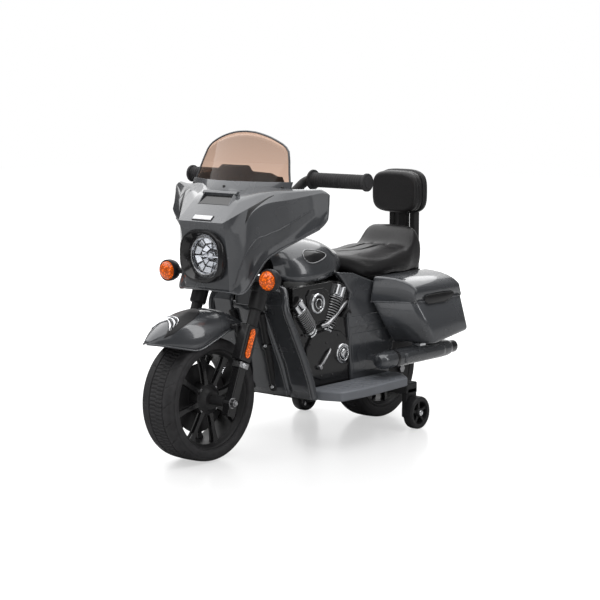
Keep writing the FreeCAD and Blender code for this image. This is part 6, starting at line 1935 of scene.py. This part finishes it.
KEPT = {
    "frame_paint": ("main_frame", "steering_stem", "top_clamp", "down_tubes", "handlebar",
                    "front_axle"),
    "steel": ("rear_axle", "bag_hinge_pins", "drive_motor"),
    "black_plastic": ("dash_panel", "seat_base", "charge_socket", "direction_switch", "gearbox"),
    "red_lens": ("start_button",),
    "amber_lens": ("horn_button",),
    "bush_nylon": ("steering_bushes",),
    "battery_case": ("battery",),
}


class KeptParts(Step):
    """Finishes of the parts that stay as the CAD made them"""

    bl_idname = "motorbike.kept_parts"
    bl_label = "Kept parts"

    def make(self, sizes):
        for slot, nodes in KEPT.items():
            for node in nodes:
                item = frame["nodes"][node]
                item.data.materials.clear()
                item.data.materials.append(finish(slot).material)


# Stage

# Camera's place in metres and its sensor's width in millimetres, and where the lights aim
CAMERA_PLACE, SENSOR_WIDTH = (2.576, -3.032, 0.866), 36
LIGHT_AIM = Vector((0, 0, 0.4))
# Name, place, width, which power it takes and how much of it, and the height where it isn't square
SOFT_BOXES = (("key_box", (2.6, -1.0, 2.2), 1.6, "key", 0.5, None),
              ("front_box", (-1.6, -3.0, 2.4), 1.6, "key", 1.4, None),
              ("top_box", (-0.6, 0.3, 3.2), 6.6, "top", 1, None),
              ("fill_box", (1.1, -1.9, 0.9), 1.7, "key", 0.75, None),
              ("strip_box", (2.6, 1.3, 1.7), 0.35, "key", 1.1, 2.4),
              ("back_box", (-2.6, 3.1, 1.1), 4.0, "back", 1, None))
FLOOR_REACH = 9


def soft_box(name, place, width, power, height):
    """A soft light aimed at the bike's middle."""
    lamp = bpy.data.lights.new(name, "AREA")
    lamp.size = width
    if height:
        lamp.shape, lamp.size_y = "RECTANGLE", height
    lamp.energy = power
    item = placed(name, lamp)
    item.location = place
    item.visible_camera = item.visible_transmission = False
    item.rotation_euler = (Vector(place) - LIGHT_AIM).to_track_quat("Z", "Y").to_euler()


def lay_floor(colours):
    """A pale floor that brightens away from the bike; the glow that camera rays see is dimmer near
    the bike, a painted shadow round it.
    """
    floor = Form()
    ends = (-FLOOR_REACH, FLOOR_REACH)
    floor.sheet([[Vector((x, y, 0)) for y in ends] for x in ends])
    item = placed("studio_floor", floor.data("studio_floor"))
    made = Finish("studio_paper")
    cloud = made.noise(1.5, 2)
    far = made.node("ShaderNodeVectorMath", {"operation": "LENGTH"}, {0: made.place}, "Value")
    seen = made.maths("MAXIMUM", made.node("ShaderNodeLightPath", {}, {}, "Is Camera Ray"),
                      made.node("ShaderNodeLightPath", {}, {}, "Is Transmission Ray"))
    # Painted shadow: the glow is weakest near the bike and whitens the floor further off, for
    # camera and transmission rays only
    glow = made.mix(made.band(far, 0.5, 2.0, 0.55, 0.95) * seen, (0, 0, 0, 1), (1, 1, 1, 1))
    made.shade(Base_Color=made.mix(cloud, tone(colours.floor, 0.98), tone(colours.floor, 1.02)),
               Roughness=0.25, Emission_Color=glow, Emission_Strength=1.0)
    item.data.materials.append(made.material)


def open_sky(scene, stage):
    """Even white light, brighter where the camera sees it."""
    world = bpy.data.worlds.new("studio_sky")
    scene.world = world
    world.use_nodes = True
    tree = world.node_tree
    sky = tree.nodes["Background"]
    sky.inputs["Color"].default_value = (1, 1, 1, 1)
    seen = tree.nodes.new("ShaderNodeLightPath")
    strength = tree.nodes.new("ShaderNodeMix")
    strength.inputs["A"].default_value = stage.sky
    strength.inputs["B"].default_value = 1.0
    either = tree.nodes.new("ShaderNodeMath")
    either.operation = "MAXIMUM"
    tree.links.new(seen.outputs["Is Camera Ray"], either.inputs[0])
    tree.links.new(seen.outputs["Is Transmission Ray"], either.inputs[1])
    tree.links.new(either.outputs[0], strength.inputs["Factor"])
    tree.links.new(strength.outputs["Result"], sky.inputs["Strength"])


class Stage(bpy.types.Operator):
    """Floor, soft light and camera"""

    bl_idname = "motorbike.stage"
    bl_label = "Stage"

    def execute(self, context):
        scene = context.scene
        stage, colours = scene.bike_stage, scene.bike_colours
        scene.view_settings.view_transform = "Standard"
        lay_floor(colours)
        open_sky(scene, stage)
        for name, place, width, power, share, height in SOFT_BOXES:
            soft_box(name, place, width, getattr(stage, power) * share, height)
        camera = placed("camera", bpy.data.cameras.new("camera"))
        camera.location = CAMERA_PLACE
        camera.rotation_euler = (math.pi / 2 - stage.elevation, 0, stage.azimuth)
        camera.data.sensor_width = SENSOR_WIDTH
        camera.data.lens = stage.lens
        scene.camera = camera
        return {"FINISHED"}


STEPS = (FrontWheel, RearWheel, Stabilisers, Fork, Fender, Fairing, Headlamp, Signals, Windshield,
         Grips, LegShields, Tank, Engine, SidePanels, Seat, Saddlebags, Exhausts, Footboards, Tail,
         KeptParts, Stage)


class MotorbikePanel(bpy.types.Panel):
    """The steps and settings of the motorbike"""

    bl_idname = "VIEW3D_PT_motorbike"
    bl_label = "Motorbike"
    bl_space_type = "VIEW_3D"
    bl_region_type = "UI"
    bl_category = "Motorbike"

    def draw(self, context):
        for step in STEPS:
            self.layout.operator(step.bl_idname)
        for group in (context.scene.bike_sizes, context.scene.bike_colours,
                      context.scene.bike_stage):
            for name in group.__annotations__:
                self.layout.prop(group, name)


GROUPS = (("bike_sizes", BikeSizes), ("bike_colours", BikeColours), ("bike_stage", BikeStage))


def register():
    """Adds the settings, steps and panel to Blender."""
    for name, group in GROUPS:
        bpy.utils.register_class(group)
        setattr(bpy.types.Scene, name, PointerProperty(type=group))
    for item in (*STEPS, MotorbikePanel):
        bpy.utils.register_class(item)


def unregister():
    """Takes them away again."""
    for item in reversed((*STEPS, MotorbikePanel)):
        bpy.utils.unregister_class(item)
    for name, group in reversed(GROUPS):
        delattr(bpy.types.Scene, name)
        bpy.utils.unregister_class(group)


def main():
    """Runs every step in order."""
    register()
    for step in STEPS:
        getattr(bpy.ops.motorbike, step.bl_idname.split(".")[1])()


if __name__ == "__main__":
    main()
